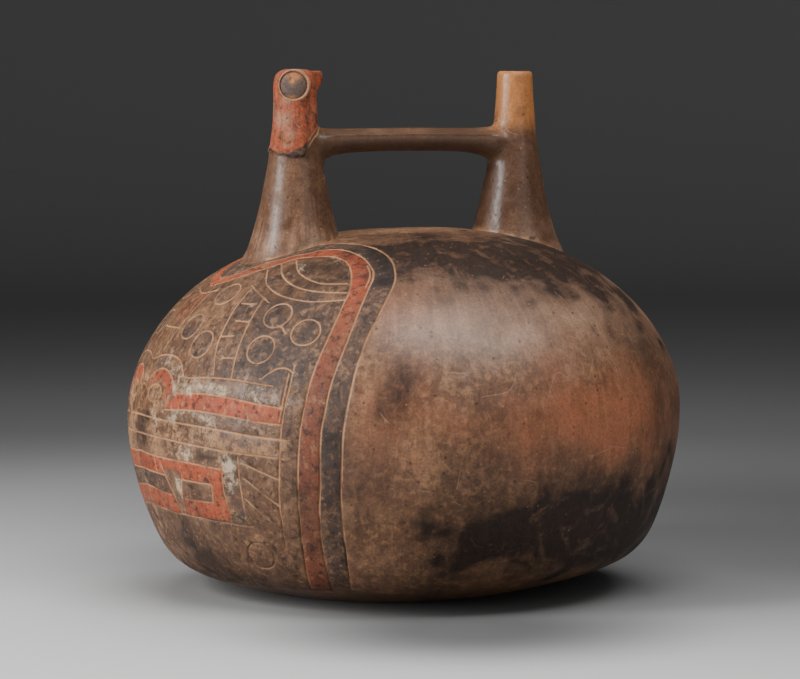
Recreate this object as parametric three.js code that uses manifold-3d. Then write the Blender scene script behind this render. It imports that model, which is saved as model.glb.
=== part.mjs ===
// A hollow fired-clay bottle with two spouts joined by a bridge. One spout is open, and the other is
// blind and ends in a small bird head. A mask panel is incised on the side below the blind spout.
// Units are millimetres, +Z is up, the origin is on the floor under the middle of the body, +X runs
// along the bridge from the blind spout to the open one, and the panel faces -X.

import * as THREE from "three";
import { mergeVertices } from "three/addons/utils/BufferGeometryUtils.js";
import Module from "manifold-3d";

const wasm = await Module();
wasm.setup();

// Body: pairs are [radius, height].
const BODY_RADIUS = 95;
const WIDEST_HEIGHT = 62.4;
const BODY_HEIGHT = 123.3;
const DOME_WIDTH_POWER = 0.775;
const DOME_HEIGHT_POWER = 1.117;
const LOWER_OUTLINE = [
  [36, 0],
  [50, 2],
  [63, 5.3],
  [75, 9.6],
  [82.5, 16],
  [87.5, 26],
  [92, 40],
  [94.4, 52],
  [BODY_RADIUS, WIDEST_HEIGHT],
];
const WALL = 5;
const BODY_SEGMENTS = 44;
const CAVITY_SEGMENTS = 24;

// The body leans a little, as hand-built work does, and its foot is flattened by the floor.
const LEAN = THREE.MathUtils.degToRad(1.57);
const LEAN_AZIMUTH = THREE.MathUtils.degToRad(159);
const SINK = 0.8;

// Spouts: pairs are [radius, height].
const OPEN_X = 40.8;
const BLIND_X = -39.3;
const SPOUT_ROOT = 96;
const SPOUT_SEGMENTS = 18;
const BORE_SEGMENTS = 14;
const OPEN_SPOUT = [
  [20, SPOUT_ROOT],
  [18, 112],
  [15.6, 118],
  [13.9, 123],
  [12, 130.2],
  [10.4, 138],
  [9.1, 147],
  [8, 155],
  [7.2, 163],
  [6.7, 172],
  [6.1, 175.8],
  [5.2, 176.4],
];
const OPEN_BORE = [
  [13.5, SPOUT_ROOT],
  [10.5, 121],
  [7.2, 136],
  [5.2, 150],
  [4.6, 163],
  [4.6, 175.4],
  [5.6, 178],
];
const BLIND_SPOUT = [
  [21, SPOUT_ROOT],
  [18.6, 111],
  [16.4, 116.5],
  [14.4, 123],
  [12.7, 131],
  [10.8, 139.4],
  [9.6, 146],
  [9.4, 149.3],
  [10.5, 150.3],
  [9.3, 153.6],
  [8.1, 159],
  [7.8, 171],
  [7.1, 174.2],
  [5.6, 176],
  [3, 176.8],
];
const BLIND_HOLLOW = [
  [14.5, SPOUT_ROOT],
  [11, 121],
  [8, 132],
  [4.8, 143],
  [2.4, 147],
];

// Bridge
const BRIDGE_HEIGHT = 7.8;
const BRIDGE_DEPTH = 11.5;
const BRIDGE_LEVEL = 152.6;
const BRIDGE_RISE = 0.7;
const BRIDGE_FLARE = 2.6;
const BRIDGE_FLARE_LENGTH = 3.2;
const SPOUT_WAIST = 8.5;
const BRIDGE_SEGMENTS = 12;
const BRIDGE_STEPS = 10;

// Bird head: eye pairs are [radius, height above the head's side], beak pairs are [x from the
// spout's middle, height].
const EYE_RADIUS = 5.5;
const EYE_LEVEL = 171.6;
const EYE_AZIMUTHS = [-111, 111];
const EYE_OUTLINE = [
  [EYE_RADIUS, -4],
  [EYE_RADIUS, 0.6],
  [EYE_RADIUS - 0.9, 1],
  [EYE_RADIUS - 1.3, 0.5],
  [1.6, 2],
  [0.7, 1.5],
];
const EYE_REACH = 7.1;
const EYE_SEGMENTS = 12;
const BEAK_OUTLINE = [
  [2, 170.6],
  [8.2, 171],
  [9.2, 173.2],
  [9.6, 176.2],
  [2, 176.5],
];
const BEAK_WIDTH = 8;

// Panel: points are [degrees from the panel's middle, millimetres along the wall above the widest
// ring], and every stroke is cut on both sides of the middle.
const GROOVE_WIDTH = 1.2;
const GROOVE_DEPTH = 0.8;
const GROOVE_LIFT = 0.6;
const GROOVE_STEP = 16;
const CIRCLE_RADIUS = 5.1;
const CIRCLE_SIDES = 8;
const BORDER = [
  [0, 70],
  [12, 75],
  [24, 84],
  [38, 89],
  [50, 87.5],
  [61, 81],
  [67, 70],
  [67.4, 58],
  [64, 43],
  [60, 25],
  [57, 0],
  [56, -30],
  [55, -56],
];
const BORDER_INSETS = [0, 7.3, 14.4];
const INNER_BORDER = [
  [46.3, 22.8],
  [44.7, 3],
  [43, -20],
  [42.2, -38],
];
const LID_LINES = 3;
const CIRCLES = [
  [15, 51.5],
  [11, 36.5],
  [18.7, 30],
  [38, 42.5],
  [47, 35.7],
  [37, 29],
  [35.2, -42],
];
const NOSE_LINES = [
  [
    [1, 23],
    [8, 25],
    [14.5, 22.5],
    [17.7, 18],
    [30, 18.2],
    [42, 16.3],
  ],
  [
    [2.5, 15.5],
    [7, 19.8],
    [12, 18.4],
    [16, 12.4],
    [27, 12.8],
    [44.5, 9],
  ],
  [
    [13, 6.8],
    [24, 7],
    [44.5, 3.7],
  ],
];
const MOUTH_LINES = [
  [
    [0, 3.7],
    [19, 2.5],
    [46, -1.3],
  ],
  [
    [0, -8.5],
    [14, -9.9],
    [30, -11.8],
  ],
  [
    [0, -27],
    [16, -29],
    [35, -31],
  ],
  [
    [30, -11.8],
    [29.5, -20],
    [30, -30.5],
  ],
];
const CHEEK_LINES = [
  [
    [23, 55],
    [24, 32],
    [26.3, 19],
  ],
  [
    [30.5, 49.5],
    [31.5, 19],
  ],
];

const vectors = (pairs) => pairs.map(([x, y]) => new THREE.Vector2(x, y));

// A closed three.js geometry as a manifold solid.
function solidOf(geometry) {
  const bare = new THREE.BufferGeometry();
  const source = geometry.index ? geometry.toNonIndexed() : geometry;
  bare.setAttribute("position", source.getAttribute("position"));
  const merged = mergeVertices(bare, 1e-3);
  return new wasm.Manifold(
    new wasm.Mesh({
      numProp: 3,
      vertProperties: merged.attributes.position.array,
      triVerts: new Uint32Array(merged.index.array),
    }),
  );
}

// A manifold solid as a three.js geometry.
function geometryOf(solid) {
  const mesh = solid.getMesh();
  const geometry = new THREE.BufferGeometry();
  geometry.setAttribute("position", new THREE.BufferAttribute(mesh.vertProperties, 3));
  geometry.setIndex(new THREE.BufferAttribute(mesh.triVerts, 1));
  const flat = geometry.toNonIndexed();
  flat.computeVertexNormals();
  return flat;
}

// A solid of revolution about +Z from points whose x is the radius and whose y is the height.
function turned(points, segments) {
  const closed = [new THREE.Vector2(0, points[0].y), ...points];
  closed.push(new THREE.Vector2(0, points[points.length - 1].y));
  const geometry = new THREE.LatheGeometry(closed, segments);
  geometry.rotateX(Math.PI / 2);
  return geometry;
}

// The wall above the widest ring: a superellipse quadrant from the ring to the top of the dome.
class DomeCurve extends THREE.Curve {
  getPoint(t, target = new THREE.Vector2()) {
    const turn = (t * Math.PI) / 2;
    const radius = BODY_RADIUS * Math.max(Math.cos(turn), 0) ** DOME_WIDTH_POWER;
    const rise = (BODY_HEIGHT - WIDEST_HEIGHT) * Math.sin(turn) ** DOME_HEIGHT_POWER;
    return target.set(radius, WIDEST_HEIGHT + rise);
  }
}

const lowerWall = new THREE.SplineCurve(vectors(LOWER_OUTLINE));
const dome = new DomeCurve();

// The body's outline from the rim of the foot to just below the top of the dome, moved inwards
// along its normals by a depth.
function bodyOutline(lowerSteps, domeSteps, depth) {
  const points = [...lowerWall.getPoints(lowerSteps), ...dome.getPoints(domeSteps).slice(1, -1)];
  return points.map((point, i) => {
    const before = points[Math.max(i - 1, 0)];
    const after = points[Math.min(i + 1, points.length - 1)];
    const along = after.clone().sub(before).normalize();
    const inward = i === 0 ? new THREE.Vector2(0, 1) : new THREE.Vector2(-along.y, along.x);
    return point.clone().addScaledVector(inward, depth);
  });
}

// The body's lean about its foot, followed by the shift that brings its widest ring's middle over
// the origin and its foot into the floor.
const leanAxis = new THREE.Vector3(-Math.sin(LEAN_AZIMUTH), Math.cos(LEAN_AZIMUTH), 0);
const ringShift = WIDEST_HEIGHT * Math.sin(LEAN);
const bodyPlace = new THREE.Matrix4()
  .makeTranslation(-Math.cos(LEAN_AZIMUTH) * ringShift, -Math.sin(LEAN_AZIMUTH) * ringShift, -SINK)
  .multiply(new THREE.Matrix4().makeRotationAxis(leanAxis, LEAN));

// The wall's radius, height and outward direction at a distance along it above the widest ring.
function wallAt(rise) {
  const curve = rise < 0 ? lowerWall : dome;
  const share = rise < 0 ? 1 + rise / lowerWall.getLength() : rise / dome.getLength();
  const point = curve.getPointAt(share);
  const along = curve.getTangentAt(share);
  return { radius: point.x, height: point.y, outward: new THREE.Vector2(along.y, -along.x) };
}

// A point of the panel in space, with the outward direction there, before the body leans.
function panelPoint(degrees, rise) {
  const { radius, height, outward } = wallAt(rise);
  const angle = THREE.MathUtils.degToRad(180 + degrees);
  const away = new THREE.Vector3(Math.cos(angle), Math.sin(angle), 0);
  const normal = away.clone().multiplyScalar(outward.x);
  normal.z = outward.y;
  const place = away.multiplyScalar(radius);
  place.z = height;
  return { place, normal };
}

// A V-shaped cutter that follows points of the panel. A closed stroke ends where it starts.
function grooveCutter(points, closed) {
  const stations = points.map(([degrees, rise]) => panelPoint(degrees, rise));
  const count = stations.length;
  const spread = (GROOVE_WIDTH / 2) * (1 + GROOVE_LIFT / GROOVE_DEPTH);
  const corners = [];
  stations.forEach(({ place, normal }, i) => {
    const next = closed ? (i + 1) % count : Math.min(i + 1, count - 1);
    const last = closed ? (i + count - 1) % count : Math.max(i - 1, 0);
    const along = stations[next].place.clone().sub(stations[last].place);
    const side = along.cross(normal).normalize();
    const top = place.clone().addScaledVector(normal, GROOVE_LIFT);
    corners.push(
      place.clone().addScaledVector(normal, -GROOVE_DEPTH),
      top.clone().addScaledVector(side, spread),
      top.clone().addScaledVector(side, -spread),
    );
  });
  const faces = [];
  const lengths = closed ? count : count - 1;
  for (let i = 0; i < lengths; i += 1) {
    const here = 3 * i;
    const there = 3 * ((i + 1) % count);
    for (let k = 0; k < 3; k += 1) {
      const j = (k + 1) % 3;
      faces.push(here + k, there + k, here + j, here + j, there + k, there + j);
    }
  }
  if (!closed) {
    const end = 3 * (count - 1);
    faces.push(0, 1, 2, end, end + 2, end + 1);
  }
  const geometry = new THREE.BufferGeometry().setFromPoints(corners);
  geometry.setIndex(faces);
  return geometry.applyMatrix4(bodyPlace);
}

// Evenly spaced points of the smooth curve through a stroke's few points.
function smooth(stroke) {
  const places = stroke.map(([degrees, rise]) => panelPoint(degrees, rise).place);
  let length = 0;
  for (let i = 1; i < places.length; i += 1) {
    length += places[i].distanceTo(places[i - 1]);
  }
  const steps = Math.max(2, Math.round(length / GROOVE_STEP));
  const curve = new THREE.SplineCurve(vectors(stroke));
  return curve.getSpacedPoints(steps).map((point) => [point.x, point.y]);
}

const degreesPerMillimetre = (rise) => THREE.MathUtils.radToDeg(1 / wallAt(rise).radius);

// A stroke moved towards the panel's middle by a distance on the wall.
function inset(points, distance) {
  return points.map(([degrees, rise], i) => {
    const [beforeDegrees, beforeRise] = points[Math.max(i - 1, 0)];
    const [afterDegrees, afterRise] = points[Math.min(i + 1, points.length - 1)];
    const scale = degreesPerMillimetre(rise);
    const along = new THREE.Vector2((afterDegrees - beforeDegrees) / scale, afterRise - beforeRise);
    along.normalize();
    const turn = i === 0 ? 0 : along.y * distance * scale;
    return [degrees + turn, rise - (i === 0 ? 1 : along.x) * distance];
  });
}

// The sagging lines of the eye's lid, each lower and starting further in than the one before.
function lidLines() {
  const lines = [];
  for (let i = 0; i < LID_LINES; i += 1) {
    const start = new THREE.Vector2(28 - 3.8 * i, 73 - 3.5 * i);
    const pull = new THREE.Vector2(36 - 4 * i, 57 - 5.3 * i);
    const end = new THREE.Vector2(54.6, 57.8 - 4.2 * i);
    const curve = new THREE.QuadraticBezierCurve(start, pull, end);
    lines.push(curve.getPoints(5).map((point) => [point.x, point.y]));
  }
  return lines;
}

function circle([degrees, rise], width, height) {
  const points = [];
  for (let i = 0; i < CIRCLE_SIDES; i += 1) {
    const turn = (i / CIRCLE_SIDES) * 2 * Math.PI;
    const across = degrees + width * Math.cos(turn) * degreesPerMillimetre(rise);
    points.push([across, rise + height * Math.sin(turn)]);
  }
  return points;
}

function panelCutters() {
  const border = smooth(BORDER);
  const open = [
    ...BORDER_INSETS.map((distance) => inset(border, distance)),
    ...lidLines(),
    ...[INNER_BORDER, ...NOSE_LINES, ...MOUTH_LINES, ...CHEEK_LINES].map(smooth),
  ];
  const rings = CIRCLES.map((centre) => circle(centre, CIRCLE_RADIUS, CIRCLE_RADIUS));
  rings.push(circle([7, 11.5], CIRCLE_RADIUS, 3));
  const mirrored = (points) => points.map(([degrees, rise]) => [-degrees, rise]);
  const bothSides = (strokes) => strokes.flatMap((points) => [points, mirrored(points)]);
  return [
    ...bothSides(open).map((points) => grooveCutter(points, false)),
    ...bothSides(rings).map((points) => grooveCutter(points, true)),
  ];
}

// A flared rod between the spouts, oval in section and slightly arched.
function bridgeGeometry() {
  const middle = (OPEN_X + BLIND_X) / 2;
  const half = (OPEN_X - BLIND_X) / 2;
  const reach = half - 4;
  const stations = [];
  for (let i = 0; i <= BRIDGE_STEPS; i += 1) {
    const along = -Math.cos((i / BRIDGE_STEPS) * Math.PI) * reach;
    const fromSpout = Math.max(half - SPOUT_WAIST - Math.abs(along), 0);
    const flare = BRIDGE_FLARE * Math.exp(-fromSpout / BRIDGE_FLARE_LENGTH);
    stations.push(new THREE.Vector2(BRIDGE_HEIGHT / 2 + flare * 0.6, along));
  }
  const geometry = turned(stations, BRIDGE_SEGMENTS);
  geometry.rotateY(Math.PI / 2);
  geometry.scale(1, BRIDGE_DEPTH / BRIDGE_HEIGHT, 1);
  const position = geometry.getAttribute("position");
  for (let i = 0; i < position.count; i += 1) {
    const share = position.getX(i) / reach;
    position.setZ(i, position.getZ(i) + BRIDGE_LEVEL + BRIDGE_RISE * (1 - share * share));
  }
  return geometry.translate(middle, 0, 0);
}

// A round pellet eye facing outwards from the head at an azimuth.
function eyeGeometry(azimuth) {
  const geometry = turned(vectors(EYE_OUTLINE), EYE_SEGMENTS);
  geometry.rotateY(Math.PI / 2);
  geometry.translate(EYE_REACH, 0, 0);
  geometry.rotateZ(THREE.MathUtils.degToRad(azimuth));
  return geometry.translate(BLIND_X, 0, EYE_LEVEL);
}

// The short blunt beak, which points along the bridge.
function beakGeometry() {
  const shape = new THREE.Shape(vectors(BEAK_OUTLINE));
  const geometry = new THREE.ExtrudeGeometry(shape, { depth: BEAK_WIDTH, bevelEnabled: false });
  geometry.translate(0, 0, -BEAK_WIDTH / 2);
  geometry.rotateX(Math.PI / 2);
  return geometry.translate(BLIND_X, 0, 0);
}

function vesselGeometry() {
  const outer = turned(bodyOutline(9, 8, 0), BODY_SEGMENTS).applyMatrix4(bodyPlace);
  const inner = turned(bodyOutline(5, 5, WALL), CAVITY_SEGMENTS).applyMatrix4(bodyPlace);
  const spout = (pairs, x) => turned(vectors(pairs), SPOUT_SEGMENTS).translate(x, 0, 0);
  const bore = (pairs, x) => turned(vectors(pairs), BORE_SEGMENTS).translate(x, 0, 0);
  const floorCut = new THREE.BoxGeometry(3 * BODY_RADIUS, 3 * BODY_RADIUS, 20).translate(0, 0, -10);
  const join = (geometries) => geometries.map(solidOf).reduce((a, b) => a.add(b));

  const added = [
    spout(OPEN_SPOUT, OPEN_X),
    spout(BLIND_SPOUT, BLIND_X),
    bridgeGeometry(),
    beakGeometry(),
    ...EYE_AZIMUTHS.map(eyeGeometry),
  ];
  const hollows = [inner, bore(OPEN_BORE, OPEN_X), bore(BLIND_HOLLOW, BLIND_X), floorCut];
  const body = solidOf(outer).subtract(join(panelCutters()));
  return geometryOf(body.add(join(added)).subtract(join(hollows)));
}

const clay = new THREE.MeshStandardMaterial({ color: 0x6b4a38, roughness: 0.45, metalness: 0 });
const vessel = new THREE.Mesh(vesselGeometry(), clay);
vessel.name = "vessel";

const part = new THREE.Group();
part.add(vessel);

export default part;
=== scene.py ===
"""A burnished clay bottle with two spouts, a bridge and an incised mask panel, with its studio.

Sizes below are millimetres in the shared frame: +Z is up, the origin is on the floor under the
middle of the body, +X runs along the bridge from the blind spout to the open one, and the panel
faces -X. Places on the body are pairs of degrees from the panel's middle and millimetres along the
wall above the widest ring.
"""

import math

import bpy
import numpy as np
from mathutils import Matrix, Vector
from mathutils.geometry import delaunay_2d_cdt


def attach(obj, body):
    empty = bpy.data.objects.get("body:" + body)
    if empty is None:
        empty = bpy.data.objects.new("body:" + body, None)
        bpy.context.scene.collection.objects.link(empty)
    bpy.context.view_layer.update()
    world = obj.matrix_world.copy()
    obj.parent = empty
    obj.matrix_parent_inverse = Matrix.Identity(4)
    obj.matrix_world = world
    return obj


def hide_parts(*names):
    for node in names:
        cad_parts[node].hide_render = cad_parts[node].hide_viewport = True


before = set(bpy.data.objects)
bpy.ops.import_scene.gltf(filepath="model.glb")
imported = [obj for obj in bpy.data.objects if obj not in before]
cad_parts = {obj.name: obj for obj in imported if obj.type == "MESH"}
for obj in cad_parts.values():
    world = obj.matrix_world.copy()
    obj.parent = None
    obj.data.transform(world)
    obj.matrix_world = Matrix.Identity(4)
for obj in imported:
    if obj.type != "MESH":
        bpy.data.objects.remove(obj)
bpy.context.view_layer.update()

bl_info = {
    "name": "Double spout vessel",
    "version": (1, 0, 0),
    "blender": (4, 5, 0),
    "location": "View3D > Sidebar > Vessel",
    "description": "Builds a burnished clay bottle with two spouts and an incised mask panel",
    "category": "Add Mesh",
}

MM = 0.001
SEED = 7
SHARP_ANGLE = math.radians(48)
FEWEST_FACES = 10000
PAINT_CLOUD_SHIFT = (0.31, -0.17, 0.23)

# Body outline: pairs are radius and height, from the rim of the foot up to the widest ring
LOWER_OUTLINE = [
    (36, 0), (50, 2), (63, 5.3), (75, 9.6), (82.5, 16), (87.5, 26), (92, 40), (94.4, 52),
    (95, 62.4),
]
WIDEST_RADIUS = LOWER_OUTLINE[-1][0]
WIDEST_HEIGHT = LOWER_OUTLINE[-1][1]
BODY_HEIGHT = 123.3
DOME_WIDTH_POWER = 0.775
DOME_HEIGHT_POWER = 1.117
OUTLINE_STEP = 0.25
OUTLINE_SOFTNESS = 2.5
WALL = 5.0
LEAN = math.radians(1.57)
LEAN_AZIMUTH = math.radians(159)
SINK = 0.8
BODY_GRID = 2.3
FOOT_RIM = 30
UNEVENNESS = 0.22

# Spouts: pairs are radius and height
OPEN_X = 40.8
OPEN_DRIFT = 0.5
DRIFT_HEIGHTS = (125, 168)
BLIND_X = -39.1
OPEN_SPOUT = [
    (20, 96), (18, 112), (15.6, 118), (13.9, 123), (12, 130.2), (10.4, 138), (8.95, 146),
    (7.8, 153), (7.05, 160),
]
OPEN_TIP = [(6.5, 167), (6.15, 173), (6.0, 175.2), (5.6, 176.1), (4.9, 176.4)]
OPEN_BORE = [
    (13.5, 96), (10.5, 121), (7.2, 136), (5.2, 150), (4.6, 163), (4.6, 174.6), (5.1, 176),
    (6.2, 178),
]
BLIND_SPOUT = [
    (21, 96), (18.6, 111), (16.2, 116.5), (14.1, 123), (12.2, 130.5), (11, 136.5), (9.85, 142),
    (9.1, 146.5), (8.75, 149.3), (8.3, 153), (7.95, 156.5), (7.6, 160),
]
SPOUT_SKIN = 112
SPOUT_LOW = 100
BLIND_HOLLOW = [(14.5, 96), (11, 121), (8, 132), (4.8, 143), (2.4, 147)]
HEAD_OUTLINE = [
    (8.8, 147), (8.7, 150.5), (8.35, 153), (7.95, 156.5), (7.6, 160), (7.4, 166), (7.4, 171),
    (7.1, 173.6), (6.2, 175.5), (4.6, 176.6), (2.4, 177),
]

# The head's collar: pairs are degrees away from the bridge and height
COLLAR_EDGE = [
    (0, 161), (50, 158), (70, 155.5), (78, 152.8), (84, 149.6), (91, 148), (109, 147.5),
    (126, 147.7), (144, 148.4), (167, 149.4), (180, 150),
]
COLLAR_PAINT = [
    (0, 160.5), (30, 158.8), (50, 156.7), (70, 154.3), (78.6, 152.8), (87, 151.8), (91, 151.4),
    (105.5, 150.1), (122, 149.1), (131, 148.5), (144, 149), (167, 149.9), (180, 150.4),
]
COLLAR_STEP = 0.6
COLLAR_FADE = 4.5

# Bridge
BRIDGE_LEVEL = 152.1
BRIDGE_RISE = 0.95
BRIDGE_HALF_HEIGHT = 3.95
BRIDGE_HALF_DEPTH = 5.75
BRIDGE_FLARE = 2.7
BRIDGE_FLARE_LENGTH = 4.4
SPOUT_WAIST = 8.5
BRIDGE_MIDDLE = (OPEN_X + BLIND_X) / 2
BRIDGE_HALF = (OPEN_X - BLIND_X) / 2
JOINT_REACH = 2.4
JOINT_STRENGTH = 0.6
JOINT_ROUNDS = 36
RIDGE_ANGLE = math.radians(26)
RIDGE_WIDTH = 0.1
RIDGE_LIFT = 0.34

# Bird head
EYE_AZIMUTHS = (-113.5, 84)
EYE_LEVEL = 171.6
EYE_REACH = 6.9
EYE_RADIUS = 5.35
BUTTON_RADIUS = 4.5
BEAK_TOP = 176.3
BEAK_FRONT = [(6.9, 168.9), (7.9, 170.4), (8.7, 172), (9.1, 174), (9.1, 175.4), (8.7, 176)]
BEAK_BACK = 1.0
BEAK_HALF_WIDTH = 3.7
BEAK_SQUARENESS = 0.55

# Panel strokes on one side; each is cut on the other side too
OUTER_BORDER = [
    (22, 86.6), (31, 88.5), (39, 89), (44, 88.5), (49, 87.5), (54, 85.5), (59, 82.5), (62, 79.5),
    (64.5, 76), (66.5, 71.5), (67.5, 66), (67.8, 60), (67, 55), (65.8, 50), (64, 43), (61.5, 33),
    (60, 25), (59, 17), (58, 8), (57.3, 0), (56.8, -10), (56.2, -20), (56, -30), (55.9, -40),
    (55.6, -50), (54.8, -58),
]
BAND_OUTER = [
    (0, 58.8), (4, 60.2), (7.5, 62.5), (13.2, 67.8), (17, 71), (21, 74), (25, 76.9), (29, 78.5),
    (32, 81), (39, 82.5), (44, 81.7), (49, 79.7), (54, 76), (57, 72.5), (59, 69), (60.7, 65),
    (61.2, 60), (60.5, 55), (59.8, 50), (58.8, 43), (57.3, 33), (56, 25), (54.7, 17), (53.7, 8),
    (53, 2), (52.6, -5), (52.2, -15), (51.4, -25), (50.9, -35), (50.8, -45), (50.3, -53),
    (49.5, -59),
]
BAND_INNER = [
    (0, 54.3), (4, 56), (9, 58.6), (14, 62), (19, 66), (24, 70.5), (28, 74), (34, 75.5), (39, 76),
    (44, 75.3), (49, 72.3), (52, 68.5), (54, 63.5), (55, 58), (55.2, 53), (54.7, 48), (54, 42),
    (53, 35), (52, 29), (50.9, 22), (50, 15), (49.3, 8), (48.6, 1), (48.2, -5), (47.7, -12),
    (47.2, -20), (46.8, -28), (46.4, -36), (46, -44), (45.2, -52), (43.8, -59),
]
FIELD_BORDER = [
    (46.3, 22.8), (46, 17), (45.3, 10), (44.7, 3), (44.2, -5), (43.6, -13), (43, -20), (42.6, -28),
    (42.2, -38),
]
LID_UPPER = [
    (28, 72.8), (31, 69.5), (34, 65.8), (37, 63), (40, 60.8), (44, 58.7), (47, 57.8), (54.5, 57.8),
]
LID_MIDDLE = [(24, 69.5), (27, 66), (30, 62.5), (34, 59), (39, 55.8), (44, 54), (49, 53.3), (54.5, 53)]
LID_LOWER = [
    (21, 65.5), (24, 61.5), (27, 57.5), (31, 54.3), (35, 51.8), (40, 49.8), (46, 48.7),
    (54.8, 49.5),
]
NOSE_OUTER = [
    (1, 23), (4, 24.5), (8, 25), (12, 24.3), (14.5, 22.5), (16, 20.2), (17.7, 17.8), (24, 18.3),
    (29, 18.3), (34, 17.8), (39, 16.8), (42, 16.3),
]
NOSE_INNER = [
    (2.5, 16.5), (4, 18.5), (7, 20), (10, 19.6), (12.5, 17.8), (14, 15.5), (15, 13), (16, 12.3),
    (19, 12.5), (24, 12.8), (29, 12.4), (34, 11.5), (39, 10.2), (44.5, 9),
]
NOSE_BAR = [(13, 6.5), (19, 7), (24, 7), (29, 6.5), (34, 5.6), (39, 4.5), (44.5, 3.7)]
LIP_A = [(0, 3.7), (4, 3.5), (19, 2.5), (29, 1.5), (37, 0), (46, -1.3)]
LIP_B = [(0, -2.6), (4, -2.7), (14, -3.3), (24, -4.5), (32, -5.7), (39, -6.5), (45, -7.3)]
LIP_C = [(0, -8.8), (4, -9.2), (14, -9.9), (22, -10.5), (30.5, -11.8)]
LIP_D = [(0, -14.7), (4, -15), (10.8, -15.6)]
LIP_E = [(0, -20.5), (4, -21), (12, -22.3)]
LIP_F = [(0, -27), (4, -27.7), (12, -28.8), (16, -29), (24, -29.8), (35, -31)]
MOUTH_CORNER = [(30, -11.5), (29.6, -15), (29.5, -20), (29.8, -25), (30, -30)]
CHEEK_BAR = [(34.3, -7), (34.1, -15), (34, -27)]
TOOTH_TOP = [(16.6, -16.3), (21, -16.7), (26.3, -17.1)]
TOOTH_FRONT = [(26.3, -17.1), (26.1, -20.3), (25.8, -23.5)]
TOOTH_BOTTOM = [(17.6, -23), (21.5, -23.3), (25.8, -23.5)]
BORDERS = [OUTER_BORDER, BAND_OUTER, BAND_INNER, FIELD_BORDER]
FINE_BORDERS = [
    [(58.2, 68.5), (59.7, 64.5), (60.1, 60), (59.5, 55.5)],
    [(45.3, 20), (44.8, 13), (44.2, 5)],
    [(39, 18.5), (40.5, 20.5), (42.5, 22.2), (44.5, 22.3), (46.3, 20.8)],
]
EYE_LINES = [
    LID_UPPER,
    LID_MIDDLE,
    LID_LOWER,
    [(22.3, 56), (26, 53.3), (30, 50.5), (32.8, 48.3)],
]
CHEEK_LINES = [
    [(23, 55), (23, 45), (23.6, 38), (24, 32), (25, 25.5), (26.3, 19.5)],
    [(30.5, 49.5), (30.6, 42), (30.8, 35), (31, 28), (31.3, 22), (31.5, 18.5)],
    [(23.8, 47.5), (27, 47.3)],
    [(26, 39.8), (30.5, 39.5)],
    [(24, 33.2), (27.5, 33.7)],
    [(28, 25.5), (30.8, 25.5)],
    [(39, 38.3), (40.5, 37.5), (41.5, 36)],
]
BROW_LINES = [
    [(5.5, 52), (5.5, 45), (4.8, 36), (4, 28)],
    [(0, 50.5), (4, 51.5), (7, 52.5)],
    [(0, 35.2), (5.5, 35.2)],
]
FACE_LINES = [
    NOSE_OUTER, NOSE_INNER, NOSE_BAR, LIP_A, LIP_B, LIP_C, LIP_D, LIP_E, LIP_F, MOUTH_CORNER, CHEEK_BAR,
    TOOTH_TOP, TOOTH_FRONT, TOOTH_BOTTOM,
    [(10.5, -13), (12.5, -20), (14, -27), (14.5, -29)],
    [(17.7, -14.5), (16.5, -20), (15.3, -29)],
    [(7.5, -10), (7.8, -15)],
    [(21, -30), (22, -34), (23, -38)],
    [(35, -9), (39, -11.5), (43.5, -14.3)],
    [(35.5, -14.5), (42.5, -23)],
    [(35, -21.5), (38, -26), (42, -31.5)],
]
CIRCLES = [(15, 51.5), (11, 36.5), (18.7, 30), (38, 42.5), (47, 35.7), (37, 29), (35.2, -42)]
CIRCLE_RADIUS = 5.1
NOSTRIL = (7, 11.5)
NOSTRIL_HALF_HEIGHT = 3.0
STROKE_STEP = 0.8
RAIL_OFFSETS = (0, 0.2, 0.42, 0.7)
SEAM_OFFSETS = (0, 0.3, 0.65, 1.1)
PANEL_FLOOR = -60

# Fine scratches on the bare clay: strokes of pairs as above, on the side that turns from the panel
SCRATCHES = [
    [(85, 11.5), (90.5, 13), (93, 19)],
    [(76.3, 14.8), (77.5, 16)],
    [(79.2, 20), (81.8, 19.5)],
    [(99, 10), (101.8, 17.5), (104.5, 16)],
    [(110, 14.5), (112.8, 21)],
    [(113.8, -8), (119, -9.5)],
    [(109.8, -10.5), (113.8, -9)],
    [(79.2, -18), (79.8, -12.5)],
    [(72, -18), (73.8, -18.5)],
    [(94, -16.5), (95.8, -17.5)],
    [(79, -22.5), (80, -23.5)],
    [(64.8, 7), (65.5, 5.5)],
    [(113, 48.5), (116.2, 35)],
    [(-96, 24), (-101, 27), (-104, 33)],
    [(-128, 12), (-131, 19)],
    [(-150, 30), (-146, 27), (-143, 28)],
    [(-88, -20), (-92, -17)],
]
SCRATCH_OFFSETS = (0, 0.16, 0.4)
SCRATCH_HALF_WIDTH = 0.24
SCRATCH_DEPTH = 0.05


def arrays(pairs):
    return np.array(pairs, float)


def travel(line):
    """How far along a line each of its points lies."""
    return np.concatenate([[0], np.cumsum(np.linalg.norm(np.diff(line, axis=0), axis=1))])


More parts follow.
